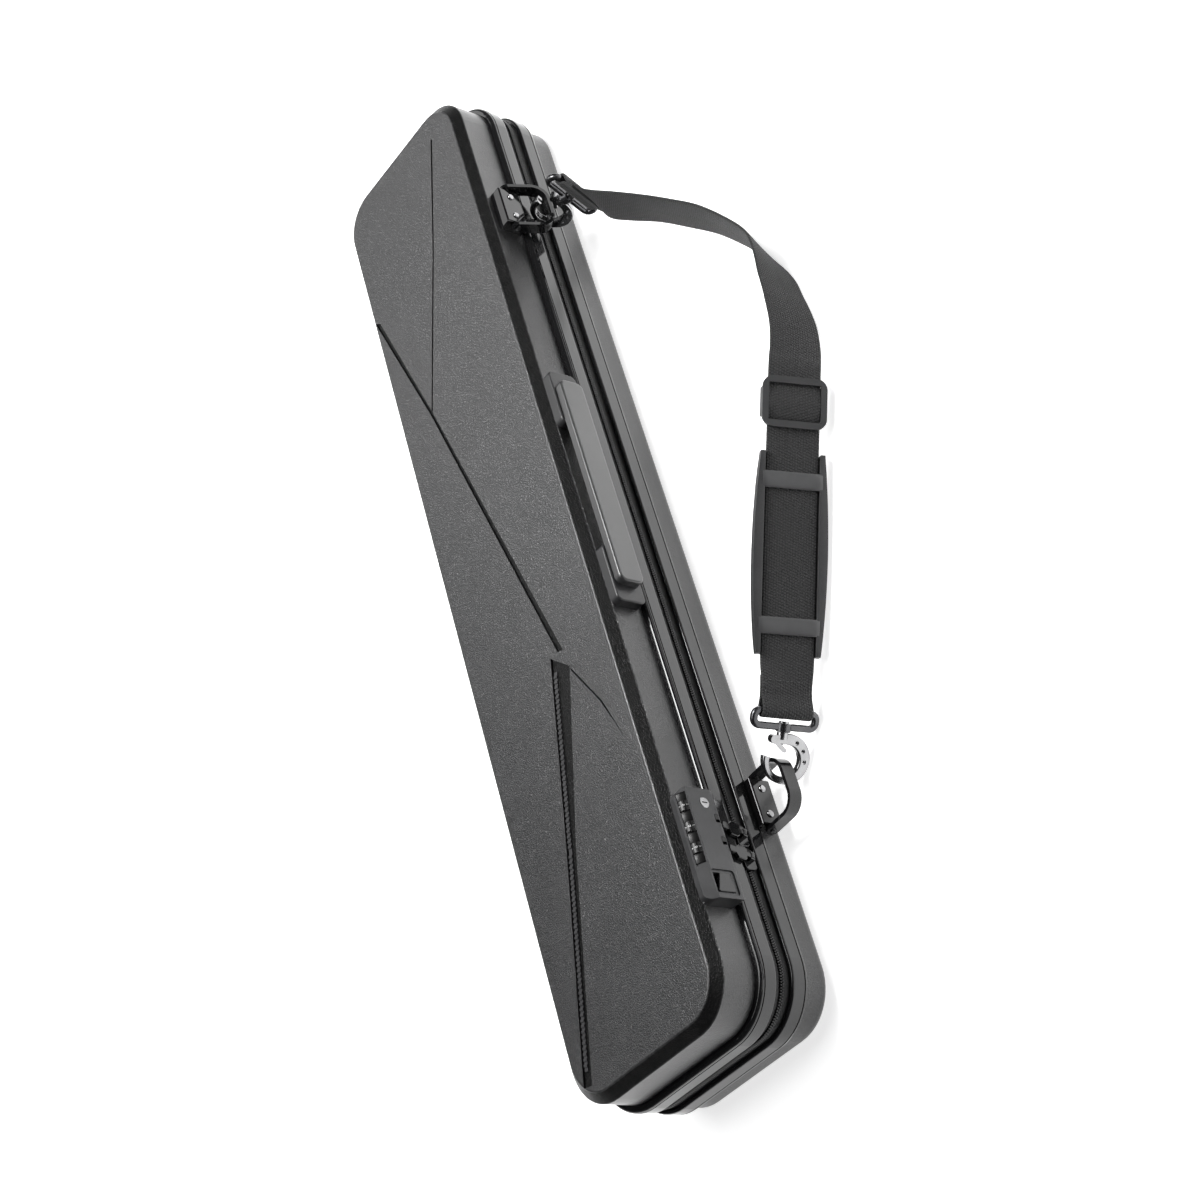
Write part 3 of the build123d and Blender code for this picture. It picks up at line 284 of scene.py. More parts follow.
def hardFinish(name, group, look):
    # plastics, paint and plated metal: body colour, wear, roughness and grain relief
    material, tree, shader, place = newMaterial(name)
    grain = addNode(tree, "ShaderNodeGroup", node_tree=group)
    tree.links.new(place.outputs["Object"], grain.inputs["Vector"])
    grain.inputs["Scale"].default_value = look["scale"]
    wear = addNode(tree, "ShaderNodeGroup", node_tree=handlingWear)
    tree.links.new(place.outputs["Object"], wear.inputs["Vector"])
    wear.inputs["Amount"].default_value = look["wear"]
    toned = mixColour(tree, grain.outputs["Tone"], look["dark"], look["light"])
    worn = addNode(tree, "ShaderNodeMix", {0: wear.outputs["Mask"], 6: toned, 7: (*look["worn"], 1)},
                   data_type="RGBA").outputs[2]
    tree.links.new(worn, shader.inputs["Base Color"])
    rough = calc(tree, "MULTIPLY_ADD", grain.outputs["Tone"], look["vary"], look["rough"] - look["vary"] / 2)
    tree.links.new(calc(tree, "MULTIPLY_ADD", wear.outputs["Mask"], look["wornRough"], rough, clamp=True),
                   shader.inputs["Roughness"])
    relief = addNode(tree, "ShaderNodeBump", {"Height": grain.outputs["Height"], "Strength": look["relief"],
                                              "Distance": look["depth"]})
    tree.links.new(relief.outputs[0], shader.inputs["Normal"])
    shader.inputs["Metallic"].default_value = look.get("metal", 0.0)
    shader.inputs["Coat Weight"].default_value = look.get("coat", 0.0)
    shader.inputs["Coat Roughness"].default_value = look.get("coatRough", 0.05)
    shader.inputs["Specular IOR Level"].default_value = look.get("specular", 0.5)
    return material


def clothFinish(name, look):
    # woven bands: yarn relief with a soft sheen
    material, tree, shader, place = newMaterial(name)
    if look.get("flat"):
        vector = place.outputs["UV"]
    else:
        # across the band is z, along it is x and y together
        axes = addNode(tree, "ShaderNodeSeparateXYZ", {0: place.outputs["Object"]}).outputs
        along = calc(tree, "ADD", axes[0], axes[look.get("other", 1)])
        vector = addNode(tree, "ShaderNodeCombineXYZ", {0: axes[look.get("across", 2)], 1: along}).outputs[0]
    weave = addNode(tree, "ShaderNodeGroup", node_tree=yarnRows)
    tree.links.new(vector, weave.inputs["Vector"])
    weave.inputs["Column"].default_value = look["column"]
    weave.inputs["Row"].default_value = look["row"]
    fade = addNode(tree, "ShaderNodeTexNoise",
                   {"Vector": place.outputs["Object"], "Scale": fadeSpots["scale"],
                    "Detail": fadeSpots["detail"]}).outputs[0]
    toned = mixColour(tree, weave.outputs["Tone"], look["dark"], look["light"])
    faded = addNode(tree, "ShaderNodeMix",
                    {0: calc(tree, "MULTIPLY", fade, look["fade"]), 6: toned, 7: (*look["faded"], 1)},
                    data_type="RGBA").outputs[2]
    tree.links.new(faded, shader.inputs["Base Color"])
    tree.links.new(calc(tree, "MULTIPLY_ADD", weave.outputs["Tone"], yarnGloss, look["rough"], clamp=True),
                   shader.inputs["Roughness"])
    relief = addNode(tree, "ShaderNodeBump", {"Height": weave.outputs["Height"], "Strength": look["relief"],
                                              "Distance": look["depth"]})
    tree.links.new(relief.outputs[0], shader.inputs["Normal"])
    shader.inputs["Sheen Weight"].default_value = look["sheen"]
    shader.inputs["Sheen Roughness"].default_value = sheenRough
    return material


def dress(material, *names):
    for name in names:
        for slot in nodes[name].material_slots:
            slot.material = material


# casing: grained charcoal shells, glossy bead rims

shellLook = {"scale": 620.0, "dark": (0.005, 0.005, 0.0053), "light": (0.022, 0.022, 0.0228),
             "worn": (0.04, 0.04, 0.042), "wear": 0.16, "rough": 0.34, "vary": -0.12, "wornRough": 0.1,
             "relief": 0.6, "depth": 0.0002, "coat": 0.25, "coatRough": 0.28, "specular": 0.75}
rimLook = {"scale": 900.0, "dark": (0.006, 0.006, 0.0065), "light": (0.013, 0.013, 0.0135),
           "worn": (0.04, 0.04, 0.04), "wear": 0.1, "rough": 0.09, "vary": 0.05, "wornRough": 0.2,
           "relief": 0.05, "depth": 0.00005, "coat": 0.25, "coatRough": 0.04}
trimLook = {"scale": 1500.0, "dark": (0.026, 0.026, 0.027), "light": (0.05, 0.05, 0.052),
            "worn": (0.05, 0.05, 0.05), "wear": 0.1, "rough": 0.38, "vary": 0.1, "wornRough": 0.1,
            "relief": 0.2, "depth": 0.00005}
grainedShell = hardFinish("grainedShell", leatherGrain, shellLook)


def darkenBelowPanel(material, look):
    # painted shade and dark reflection: creases and sloping edge below the lid's panel, darkened and dulled
    # by height
    tree = material.node_tree
    shader = tree.nodes["Principled BSDF"]
    place = addNode(tree, "ShaderNodeTexCoord").outputs["Object"]
    height = addNode(tree, "ShaderNodeSeparateXYZ", {0: place}).outputs[2]
    under = addNode(tree, "ShaderNodeMapRange", {"Value": height, 1: look["top"] - look["fade"],
                                                 2: look["top"], 3: 1.0, 4: 0.0}).outputs[0]
    over = addNode(tree, "ShaderNodeMapRange", {"Value": height, 1: look["low"],
                                                2: look["low"] + look["fade"]}).outputs[0]
    shadeMask = calc(tree, "MULTIPLY", under, over)
    plain = shader.inputs["Base Color"].links[0].from_socket
    mix = addNode(tree, "ShaderNodeMix", {0: shadeMask, 6: plain, 7: (*look["colour"], 1)}, data_type="RGBA")
    tree.links.new(mix.outputs[2], shader.inputs["Base Color"])
    rough = shader.inputs["Roughness"].links[0].from_socket
    tree.links.new(calc(tree, "MULTIPLY_ADD", shadeMask, look["rougher"], rough, clamp=True),
                   shader.inputs["Roughness"])
    for socket in ("Specular IOR Level", "Coat Weight"):
        full = shader.inputs[socket].default_value
        tree.links.new(calc(tree, "MULTIPLY_ADD", shadeMask, -full * look["duller"], full), shader.inputs[socket])


# painted shade for the creases and the lid's sloping edge: height band, dark colour and dulling
paintedCreaseShade = {"top": 0.1007, "low": 0.0942, "fade": 0.0006, "colour": (0.004, 0.004, 0.004),
              "rougher": 0.02, "duller": 0.78}
darkenBelowPanel(grainedShell, paintedCreaseShade)
glossRim = hardFinish("glossRim", fineTooth, rimLook)
ribbedTrim = hardFinish("ribbedTrim", fineTooth, trimLook)
dress(grainedShell, "base_shell", "lid_shell")
dress(glossRim, "base_rim", "lid_rim")
dress(ribbedTrim, "panel_trim")
print("casing dressed")

# lock, handle and strap fittings

castingLook = {"scale": 2200.0, "dark": (0.026, 0.026, 0.027), "light": (0.046, 0.046, 0.048),
               "worn": (0.1, 0.1, 0.1), "wear": 0.14, "rough": 0.36, "vary": 0.1, "wornRough": -0.08,
               "relief": 0.18, "depth": 0.00005, "metal": 0.35}
dialLook = {"scale": 1800.0, "dark": (0.003, 0.003, 0.003), "light": (0.008, 0.008, 0.008),
            "worn": (0.05, 0.05, 0.05), "wear": 0.12, "rough": 0.3, "vary": 0.08, "wornRough": 0.1,
            "relief": 0.1, "depth": 0.00004, "specular": 0.3}
nickelLook = {"scale": 1500.0, "dark": (0.26, 0.26, 0.264), "light": (0.44, 0.44, 0.446),
              "worn": (0.12, 0.12, 0.12), "wear": 0.25, "rough": 0.2, "vary": 0.08, "wornRough": 0.16,
              "relief": 0.08, "depth": 0.00004, "metal": 1.0}
steelLook = {"scale": 1800.0, "dark": (0.35, 0.35, 0.36), "light": (0.46, 0.46, 0.47),
             "worn": (0.25, 0.25, 0.25), "wear": 0.25, "rough": 0.34, "vary": 0.12, "wornRough": 0.12,
             "relief": 0.12, "depth": 0.00004, "metal": 1.0}
gunmetalLook = {"scale": 1700.0, "dark": (0.07, 0.07, 0.074), "light": (0.12, 0.12, 0.124),
                "worn": (0.25, 0.25, 0.25), "wear": 0.22, "rough": 0.26, "vary": 0.1, "wornRough": 0.1,
                "relief": 0.1, "depth": 0.00004, "metal": 0.9}
blackPaintLook = {"scale": 1300.0, "dark": (0.003, 0.003, 0.0033), "light": (0.007, 0.007, 0.0075),
                  "worn": (0.05, 0.05, 0.05), "wear": 0.1, "rough": 0.1, "vary": 0.06, "wornRough": 0.2,
                  "relief": 0.08, "depth": 0.00004, "coat": 0.15, "coatRough": 0.05, "specular": 0.45}
gripLook = {"scale": 1500.0, "dark": (0.02, 0.02, 0.0205), "light": (0.034, 0.034, 0.035),
            "worn": (0.07, 0.07, 0.07), "wear": 0.18, "rough": 0.32, "vary": 0.1, "wornRough": -0.06,
            "relief": 0.16, "depth": 0.00005, "coat": 0.35, "coatRough": 0.25, "specular": 0.75}
bracketLook = {"scale": 1500.0, "dark": (0.016, 0.016, 0.017), "light": (0.028, 0.028, 0.029),
               "worn": (0.07, 0.07, 0.07), "wear": 0.15, "rough": 0.34, "vary": 0.1, "wornRough": -0.05,
               "relief": 0.18, "depth": 0.00005}
adjusterLook = {"scale": 1300.0, "dark": (0.02, 0.02, 0.021), "light": (0.034, 0.034, 0.035),
                "worn": (0.07, 0.07, 0.07), "wear": 0.15, "rough": 0.36, "vary": 0.12, "wornRough": 0.05,
                "relief": 0.2, "depth": 0.00006}
fittingFinishes = {
    "satinCasting": (castingLook, ["lock_housing"]),
    "dialPlastic": (dialLook, ["number_dial_1", "number_dial_2", "number_dial_3", "catch_bar"]),
    "brightNickel": (nickelLook, [
        "key_plug", "lower_ring_pins", "upper_ring_pins", "lower_ring_rivets", "upper_ring_rivets",
        "lower_hook_body", "upper_hook_body", "lower_hook_gate", "upper_hook_gate"]),
    "plainSteel": (steelLook, [
        "lock_back_plate", "dial_axle", "button_spring", "lock_screws", "handle_screws"]),
    "gunmetalPlate": (gunmetalLook, ["lower_hook_loop", "upper_hook_loop"]),
    "blackEnamel": (blackPaintLook, [
        "release_button", "lower_ring_block", "upper_ring_block", "lower_ring_loop", "upper_ring_loop",
        "zip_slider_1", "zip_slider_2", "zip_puller_1", "zip_puller_2", "base_zip_coil", "lid_zip_coil"]),
    "gripPlastic": (gripLook, ["handle_grip"]),
    "bracketPlastic": (bracketLook, ["handle_bracket_upper", "handle_bracket_lower"]),
    "adjusterPlastic": (adjusterLook, ["strap_adjuster"]),
}
for name, (look, names) in fittingFinishes.items():
    dress(hardFinish(name, fineTooth, look), *names)
print("fittings dressed")

# cloths

webbingLook = {"flat": True, "column": 0.0019, "row": 0.0021, "dark": (0.002, 0.002, 0.002),
               "light": (0.025, 0.025, 0.0258), "faded": (0.022, 0.022, 0.022), "fade": 0.25, "rough": 0.85,
               "relief": 1.0, "depth": 0.0005, "sheen": 0.05}
tapeLook = {"column": 0.0012, "row": 0.001, "dark": (0.006, 0.006, 0.006), "light": (0.02, 0.02, 0.021),
            "faded": (0.03, 0.03, 0.03), "fade": 0.25, "rough": 0.9, "relief": 0.6, "depth": 0.0002,
            "sheen": 0.1}
liningLook = {"column": 0.0009, "row": 0.0009, "across": 1, "other": 2, "dark": (0.02, 0.02, 0.022),
              "light": (0.045, 0.045, 0.048), "faded": (0.06, 0.06, 0.06), "fade": 0.35, "rough": 0.92,
              "relief": 0.35, "depth": 0.00012, "sheen": 0.3}
wovenWebbing = clothFinish("wovenWebbing", webbingLook)
zipCloth = clothFinish("zipCloth", tapeLook)
liningCloth = clothFinish("liningCloth", liningLook)
threadLook = {"column": 0.0004, "row": 0.0005, "dark": (0.01, 0.01, 0.01), "light": (0.06, 0.06, 0.062),
              "faded": (0.08, 0.08, 0.08), "fade": 0.3, "rough": 0.7, "relief": 0.5, "depth": 0.00008,
              "sheen": 0.1}
stitchThread = clothFinish("stitchThread", threadLook)

# shoulder strap: one webbing from hook to hook, folded and sewn round each bar

strapRun = {"width": 0.038, "thick": 0.0022, "snug": 0.53, "eye": 0.0041, "fold": 0.024, "steps": 7,
            "straightStops": (0.034, 0.05, 0.1, 0.16, 0.2), "backYarn": 0.2,
            "lowerBar": (-223.2, -144.1, 25.7), "lowerNose": (-247.5, -121.7, 22.6), "lowerHookLean": 17.1,
            "upperBar": (264.4, -138.4, 52.1), "upperNose": (274.1, -106.9, 55.8), "upperHookLean": -24.5,
            "straightEnd": (-9.5, -253.2, 25.7), "straightLean": 28.0,
            "bend": [(6, -257.8, 22.6, 23), (18, -260.6, 20.6, 19), (30, -262.6, 19.4, 15),
                     (44, -263.8, 19.2, 10), (59, -264.4, 19.4, 4), (74, -264.6, 19.4, 0),
                     (92, -263.4, 19.3, -12), (109, -258.8, 18.9, -22), (131, -248, 19.6, -23),
                     (160, -230, 24.5, -22), (182, -211, 31, -20), (203, -191, 38.5, -18),
                     (221, -171, 46, -20), (236, -155.5, 50.6, -20)]}


def mm(point):
    return Vector(point) / 1000


def widthLine(run, lean):
    # across the webbing, for a run that leans from upright
    outward = Vector((run.y, -run.x, 0)).normalized()
    line = outward * math.sin(math.radians(lean)) - Vector((0, 0, math.cos(math.radians(lean))))
    return (line - run * line.dot(run)).normalized()


def barLine(bar, nose, run, lean):
    reach = (nose - bar).normalized()
    line = widthLine(run, lean)
    return (line - reach * line.dot(reach)).normalized()


def foldRound(bar, out, across, side, strap):
    # profile of the fold square to the bar, from the long run to the loose end: reach, then height
    face = across.cross(out) * side
    eye, half = strap["eye"], strap["thick"] * strap["snug"]
    upper = [(0.011, half * 1.05), (0.0062, 0.0024), (0.002, eye * 0.93), (-0.0022, eye * 0.84)]
    under = [(reach, -height) for reach, height in reversed(upper)]
    shape = [(0.019, half), *upper, (-eye, 0.0), *under, (strap["fold"], -half)]
    return [(bar + out * reach + face * height, across, face) for reach, height in shape]


def spline(a, b, c, d, t):
    # smooth curve from b to c, which leaves and arrives in line with a and d
    square, cube = 2 * a - 5 * b + 4 * c - d, 3 * b - a - 3 * c + d
    return 0.5 * ((2 * b) + (c - a) * t + square * t * t + cube * t ** 3)


def strapFrames(strap):
    lowerBar, upperBar = mm(strap["lowerBar"]), mm(strap["upperBar"])
    straightEnd = mm(strap["straightEnd"])
    run = (straightEnd - lowerBar).normalized()
    upperRun = (upperBar - mm(strap["bend"][-1][:3])).normalized()
    lowerAcross = barLine(lowerBar, mm(strap["lowerNose"]), run, strap["lowerHookLean"])
    upperAcross = barLine(upperBar, mm(strap["upperNose"]), upperRun, strap["upperHookLean"])
    lowerOut = (run - lowerAcross * run.dot(lowerAcross)).normalized()
    upperOut = (-upperRun + upperAcross * upperRun.dot(upperAcross)).normalized()
    straightLine = widthLine(run, strap["straightLean"])
    start = foldRound(lowerBar, lowerOut, lowerAcross, 1, strap)[::-1]
    middle = [(lowerBar + run * stop, straightLine, None) for stop in strap["straightStops"]]
    middle.append((straightEnd, straightLine, None))
    places = [mm(p[:3]) for p in strap["bend"]]
    for i, point in enumerate(strap["bend"]):
        ahead = places[min(i + 1, len(places) - 1)] - places[max(i - 1, 0)]
        middle.append((places[i], widthLine(ahead.normalized(), point[3]), None))
    end = foldRound(upperBar, upperOut, upperAcross, -1, strap)
    return start, middle, end


def buildStrap(strap):
    lowerFold, middle, upperFold = strapFrames(strap)
    keys = lowerFold + middle + upperFold
    line, across = [], []
    for i in range(len(keys) - 1):
        quad = [keys[max(i - 1, 0)], keys[i], keys[i + 1], keys[min(i + 2, len(keys) - 1)]]
        for step in range(strap["steps"]):
            t = step / strap["steps"]
            line.append(spline(*[k[0] for k in quad], t))
            across.append(spline(*[k[1] for k in quad], t).normalized())
    line.append(keys[-1][0])
    across.append(keys[-1][1])
    half, thin = strap["width"] / 2, strap["thick"] / 2
    # rounded selvedges: the section is a flat band with soft ends
    section = [(-1.0, 0.35), (-0.97, 0.85), (-0.9, 1.0), (-0.45, 1.02), (-0.06, 1.0), (0, 0.9), (0.06, 1.0),
               (0.45, 1.02), (0.9, 1.0), (0.97, 0.85), (1.0, 0.35)]
    ring = section + [(a, -b) for a, b in reversed(section)]
    points, uvs, faces, travelled = [], [], [], 0.0
    for i, place in enumerate(line):
        run = (line[min(i + 1, len(line) - 1)] - line[max(i - 1, 0)]).normalized()
        wide = (across[i] - run * across[i].dot(run)).normalized()
        face = wide.cross(run)
        travelled += (place - line[i - 1]).length if i else 0
        for a, b in ring:
            points.append(place + wide * a * half + face * b * thin)
            uvs.append((a * half + half + (strap["backYarn"] if b < 0 else 0), travelled))
    size = len(ring)
    for i in range(len(line) - 1):
        for j in range(size):
            k = (j + 1) % size
            faces.append((i * size + j, i * size + k, (i + 1) * size + k, (i + 1) * size + j))
    faces.append(tuple(range(size))[::-1])
    faces.append(tuple((len(line) - 1) * size + j for j in range(size)))
    piece = meshPiece("shoulderStrap", points, faces, uvs)
    faceOut(piece)
    smooth(piece, 50)
    return piece, lowerFold, upperFold


strapPiece, lowerFold, upperFold = buildStrap(strapRun)
strapPiece.data.materials.append(wovenWebbing)
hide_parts("strap_lower", "strap_upper")
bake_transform(strapPiece)

humpShape = {"place": 217.5, "length": 0.0245, "width": 0.0375, "rise": 0.0022, "from": 0.0009,
             "thick": 0.0016, "steps": 16, "columns": 8, "power": 0.8, "edgeDrop": 0.0003,
             "yarnStart": 0.217}
stitchShape = {"length": 0.0021, "radius": 0.00032, "pitch": 0.0027, "proud": 0.00105,
               "rows": (0.0085, 0.0205), "side": 0.0165}


def strapPlace(strap, place):
    # frame on the straight run: x along it, y across, z away from the case
    lowerBar = mm(strap["lowerBar"])
    run = (mm(strap["straightEnd"]) - lowerBar).normalized()
    face = widthLine(run, strap["straightLean"]).cross(run)
    side = face.cross(run)
    where = lowerBar + run * place / 1000
    return axesMatrix(run, side, face, where)


def buildHump(shape, strap):
    # the webbing that rises over the adjuster's middle bar
    steps, columns, halfWidth = shape["steps"], shape["columns"], shape["width"] / 2
    points, uvs, faces = [], [], []
    for i in range(steps + 1):
        t = i / steps * 2 - 1
        lift = shape["from"] + shape["rise"] * math.cos(t * math.pi / 2) ** shape["power"]
        along = t * shape["length"] / 2
        for j in range(columns + 1):
            aside = j / columns * 2 - 1
            points.append((along, aside * halfWidth, lift - shape["edgeDrop"] * abs(aside) ** 3))
            uvs.append((aside * halfWidth + halfWidth, along + shape["yarnStart"]))
    row = columns + 1
    for i in range(steps):
        for j in range(columns):
            a = i * row + j
            faces.append((a, a + 1, a + row + 1, a + row))
    piece = meshPiece("webbingHump", points, faces, uvs)
    modify(piece, "SOLIDIFY", thickness=shape["thick"], offset=0)
    faceOut(piece)
    piece.matrix_world = strapPlace(strap, shape["place"])
    settle(piece, "webbingHump")
    smooth(piece, 50)
    return piece


def buildStitches(name, bar, out, across, strap, shape):
    # two rows across the fold and one along each edge, on both faces
    bpy.ops.mesh.primitive_uv_sphere_add(segments=8, ring_count=6, radius=1)
    thread = bpy.context.object
    thread.scale = (shape["length"] / 2, shape["radius"], shape["radius"])
    settle(thread, "thread")
    normal = across.cross(out)
    lift = strap["thick"] * strap["snug"] + shape["proud"]
    places = []
    for way in (-1, 1):
        spots = []
        for row in shape["rows"]:
            count = int(2 * shape["side"] / shape["pitch"])
            spots += [(row, (i - count / 2) * shape["pitch"], across, out) for i in range(count + 1)]
        count = int((shape["rows"][1] - shape["rows"][0]) / shape["pitch"])
        for side in (-1, 1):
            spots += [(shape["rows"][0] + (i + 0.5) * shape["pitch"], side * shape["side"], out, across)
                      for i in range(count)]
        for along, wide, xAxis, yAxis in spots:
            spot = bar + out * along + across * wide + normal * way * lift
            places.append(axesMatrix(xAxis, yAxis, xAxis.cross(yAxis), spot))
    piece = copiesAlong(thread, places, name)
    smooth(piece, 60)
    piece.data.materials.append(stitchThread)
    return piece


humpPiece = buildHump(humpShape, strapRun)
humpPiece.data.materials.append(wovenWebbing)
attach(humpPiece, "base")
for name, body, bar, fold, looseEnd in (("lowerFoldStitches", "base", "lowerBar", lowerFold, 0),
                                        ("upperFoldStitches", "lid", "upperBar", upperFold, -1)):
    barPlace = mm(strapRun[bar])
    loose, across, face = fold[looseEnd]
    out = loose - barPlace - face * (loose - barPlace).dot(face)
    stitches = buildStitches(name, barPlace, out.normalized(), across, strapRun, stitchShape)
    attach(stitches, body)
print("strap built")

# shoulder pad: a bowed moulded tray with two bands over the webbing

padLook = {"scale": 1200.0, "dark": (0.02, 0.02, 0.021), "light": (0.034, 0.034, 0.035),
           "worn": (0.06, 0.06, 0.062), "wear": 0.2, "rough": 0.4, "vary": 0.12, "wornRough": 0.06,
           "relief": 0.25, "depth": 0.00008}
padGrainScale = 650.0
padShape = {"place": 110.0, "length": 0.143, "endWidth": 0.046, "midWidth": 0.053, "back": 0.0025,
            "rise": 0.003, "inner": 0.0196, "clear": 0.0016, "bandWidth": 0.012, "bandInset": 0.014,
            "band": 0.0016, "cuts": 11, "endThin": 0.62, "endRun": 2.2, "cutter": (0.4, 0.02),
            "edge": 0.0007, "bandCuts": 7, "bandOver": 0.004, "crown": 0.0009, "sink": 0.0004,
            "bandEdge": 0.0004}
padPlastic = hardFinish("padPlastic", leatherGrain, {**padLook, "scale": padGrainScale})
# painted highlight: the bands are coloured lighter than the tray, standing in for the sheen on their crowned
# tops
padBandHighlightLook = {**padLook, "dark": (0.04, 0.04, 0.041), "light": (0.06, 0.06, 0.062), "coat": 0.3,
               "coatRough": 0.2}
padBandHighlightPlastic = hardFinish("padBandHighlightPlastic", fineTooth, padBandHighlightLook)


def buildPad(shape, strap):
    low = -(shape["clear"] + shape["back"])
    bpy.ops.mesh.primitive_cube_add(size=1, location=(0, 0, (low + shape["rise"]) / 2),
                                    scale=(shape["length"], shape["midWidth"], shape["rise"] - low))
    piece = settle(bpy.context.object, "padTray")
    meshStep(piece, "subdivide", number_cuts=shape["cuts"])
    for v in piece.data.vertices:
        bow = 1 - (2 * v.co.x / shape["length"]) ** 2
        wide = (shape["endWidth"] + (shape["midWidth"] - shape["endWidth"]) * bow) / shape["midWidth"]
        v.co.y *= wide
        # the ends of the back thin out, as a moulded pad's do
        if v.co.z < 0:
            v.co.z *= shape["endThin"] + (1 - shape["endThin"]) * min(1, shape["endRun"] * bow)
    # the strap's bed is cut out, and its long edges stay as rims
    cutLength, cutHeight = shape["cutter"]
    bpy.ops.mesh.primitive_cube_add(size=1, location=(0, 0, cutHeight / 2 - shape["clear"]),
                                    scale=(cutLength, 2 * shape["inner"], cutHeight))
    cutter = bpy.context.object
    modify(piece, "BOOLEAN", operation="DIFFERENCE", object=cutter, solver="EXACT")
    bpy.data.objects.remove(cutter)
    modify(piece, "BEVEL", width=shape["edge"], segments=3, limit_method="ANGLE",
           angle_limit=math.radians(40))
    bands = []
    for way in (-1, 1):
        place = way * (shape["length"] / 2 - shape["bandInset"] - shape["bandWidth"] / 2)
        bpy.ops.mesh.primitive_cube_add(size=1, location=(place, 0, shape["clear"] + shape["band"] / 2),
                                        scale=(shape["bandWidth"], 2 * shape["inner"] + shape["bandOver"],
                                               shape["band"]))
        band = settle(bpy.context.object, "padBand")
        meshStep(band, "subdivide", number_cuts=shape["bandCuts"])
        for v in band.data.vertices:
            # crowned along its width, so it catches the light as a moulded strip does
            along = (v.co.x - place) / (shape["bandWidth"] / 2)
            if v.co.z > shape["clear"] + 0.5 * shape["band"]:
                v.co.z += shape["crown"] * (1 - along ** 2) - shape["sink"]
        modify(band, "BEVEL", width=shape["bandEdge"], segments=2, limit_method="ANGLE",
               angle_limit=math.radians(40))
        bands.append(band)
    for part, finish in [(piece, padPlastic)] + [(band, padBandHighlightPlastic) for band in bands]:
        part.data.materials.append(finish)
    pick(piece, *bands)
    bpy.ops.object.join()
    piece.matrix_world = strapPlace(strap, shape["place"])
    settle(piece, "shoulderPad")
    smooth(piece, 35)
    return piece


padPiece = buildPad(padShape, strapRun)
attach(padPiece, "base")
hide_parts("shoulder_pad")
print("pad built")

# cloth and foam made from their plain solids: cloth gets soft edges, foam is remeshed and smoothed

clothEdges = {"width": 0.00025, "angle": 50}
foamSoftening = {"voxel": 0.0035, "factor": 0.6, "times": 3}
clothParts = {
    "base_zip_tape": ("zipTapeBase", "base", "zip_fabric", zipCloth),
    "lid_zip_tape": ("zipTapeLid", "lid", "zip_fabric", zipCloth),
    "hinge_tape_base": ("hingeClothBase", "base", "hinge_fabric", zipCloth),
    "hinge_tape_lid": ("hingeClothLid", "lid", "hinge_fabric", zipCloth),
    "cue_straps": ("cueBands", "base", "inner_strap", zipCloth),
    "base_insert": ("cueBed", "base", "foam", liningCloth),
    "lid_insert": ("lidLining", "lid", "foam", liningCloth),
}
for node, (name, body, slotName, material) in clothParts.items():
    piece = copyNode(node, name)
    foam = slotName == "foam"
    if foam:
        modify(piece, "REMESH", mode="VOXEL", voxel_size=foamSoftening["voxel"])
        modify(piece, "SMOOTH", factor=foamSoftening["factor"], iterations=foamSoftening["times"])
    else:
        modify(piece, "BEVEL", width=clothEdges["width"], segments=2, limit_method="ANGLE",
               angle_limit=math.radians(clothEdges["angle"]))
    piece.data.materials.append(material)
    smooth(piece, 40)
    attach(piece, body)
    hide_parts(node)
print("cloth parts made")

# zip teeth: the two rows mesh along the parting line, round both ends

zipShape = {"halfLength": 0.42, "halfWidth": 0.084, "corner": 0.038, "out": 0.00215, "pitch": 0.0019,
            "level": 0.0462, "toothSize": (0.001, 0.0013, 0.0021), "toothEdge": 0.0003, "shift": 0.000855}


def outlineSpot(shape, travelled):
    # a spot and heading on the rounded outline, from the far side's -X end round the near side,
    # as a list of corners with their end angles and straight runs with their headings
    length, width, corner = shape["halfLength"], shape["halfWidth"], shape["corner"]
    turn = (corner + shape["out"]) * math.pi / 2
    insideLength, insideWidth = length - corner, width - corner
    outerLength, outerWidth = length + shape["out"], width + shape["out"]
    runs = [((-insideLength, insideWidth), 180, turn, None),
            ((-outerLength, insideWidth), None, 2 * insideWidth, Vector((0, -1, 0))),
            ((-insideLength, -insideWidth), 270, turn, None),
            ((-insideLength, -outerWidth), None, 2 * insideLength, Vector((1, 0, 0))),
            ((insideLength, -insideWidth), 360, turn, None),
            ((outerLength, -insideWidth), None, 2 * insideWidth, Vector((0, 1, 0))),
            ((insideLength, insideWidth), 450, turn, None)]
    for (x, y), endAngle, size, heading in runs:
        place = Vector((x, y, 0))
        if travelled > size:
            travelled -= size
            continue
        if heading:
            return place + heading * travelled, heading
        angle = math.radians(endAngle - 90 + 90 * travelled / size)
        radius = corner + shape["out"]
        spoke = Vector((math.cos(angle), math.sin(angle), 0))
        return place + spoke * radius, Vector((-spoke.y, spoke.x, 0))
    return None, None


def buildTeeth(shape, name, level, start):
    bpy.ops.mesh.primitive_cube_add(size=1)
    tooth = bpy.context.object
    tooth.scale = shape["toothSize"]
    settle(tooth, "tooth")
    modify(tooth, "BEVEL", width=shape["toothEdge"], segments=1)
    places, travelled = [], start
    while True:
        spot, heading = outlineSpot(shape, travelled)
        if spot is None:
            break
        travelled += shape["pitch"]
        if spot.y > shape["halfWidth"]:
            continue
        side = Vector((heading.y, -heading.x, 0))
        places.append(axesMatrix(heading, side, (0, 0, 1), (spot.x, spot.y, level)))
    piece = copiesAlong(tooth, places, name)
    faceOut(piece)
    smooth(piece, 30)
    return piece


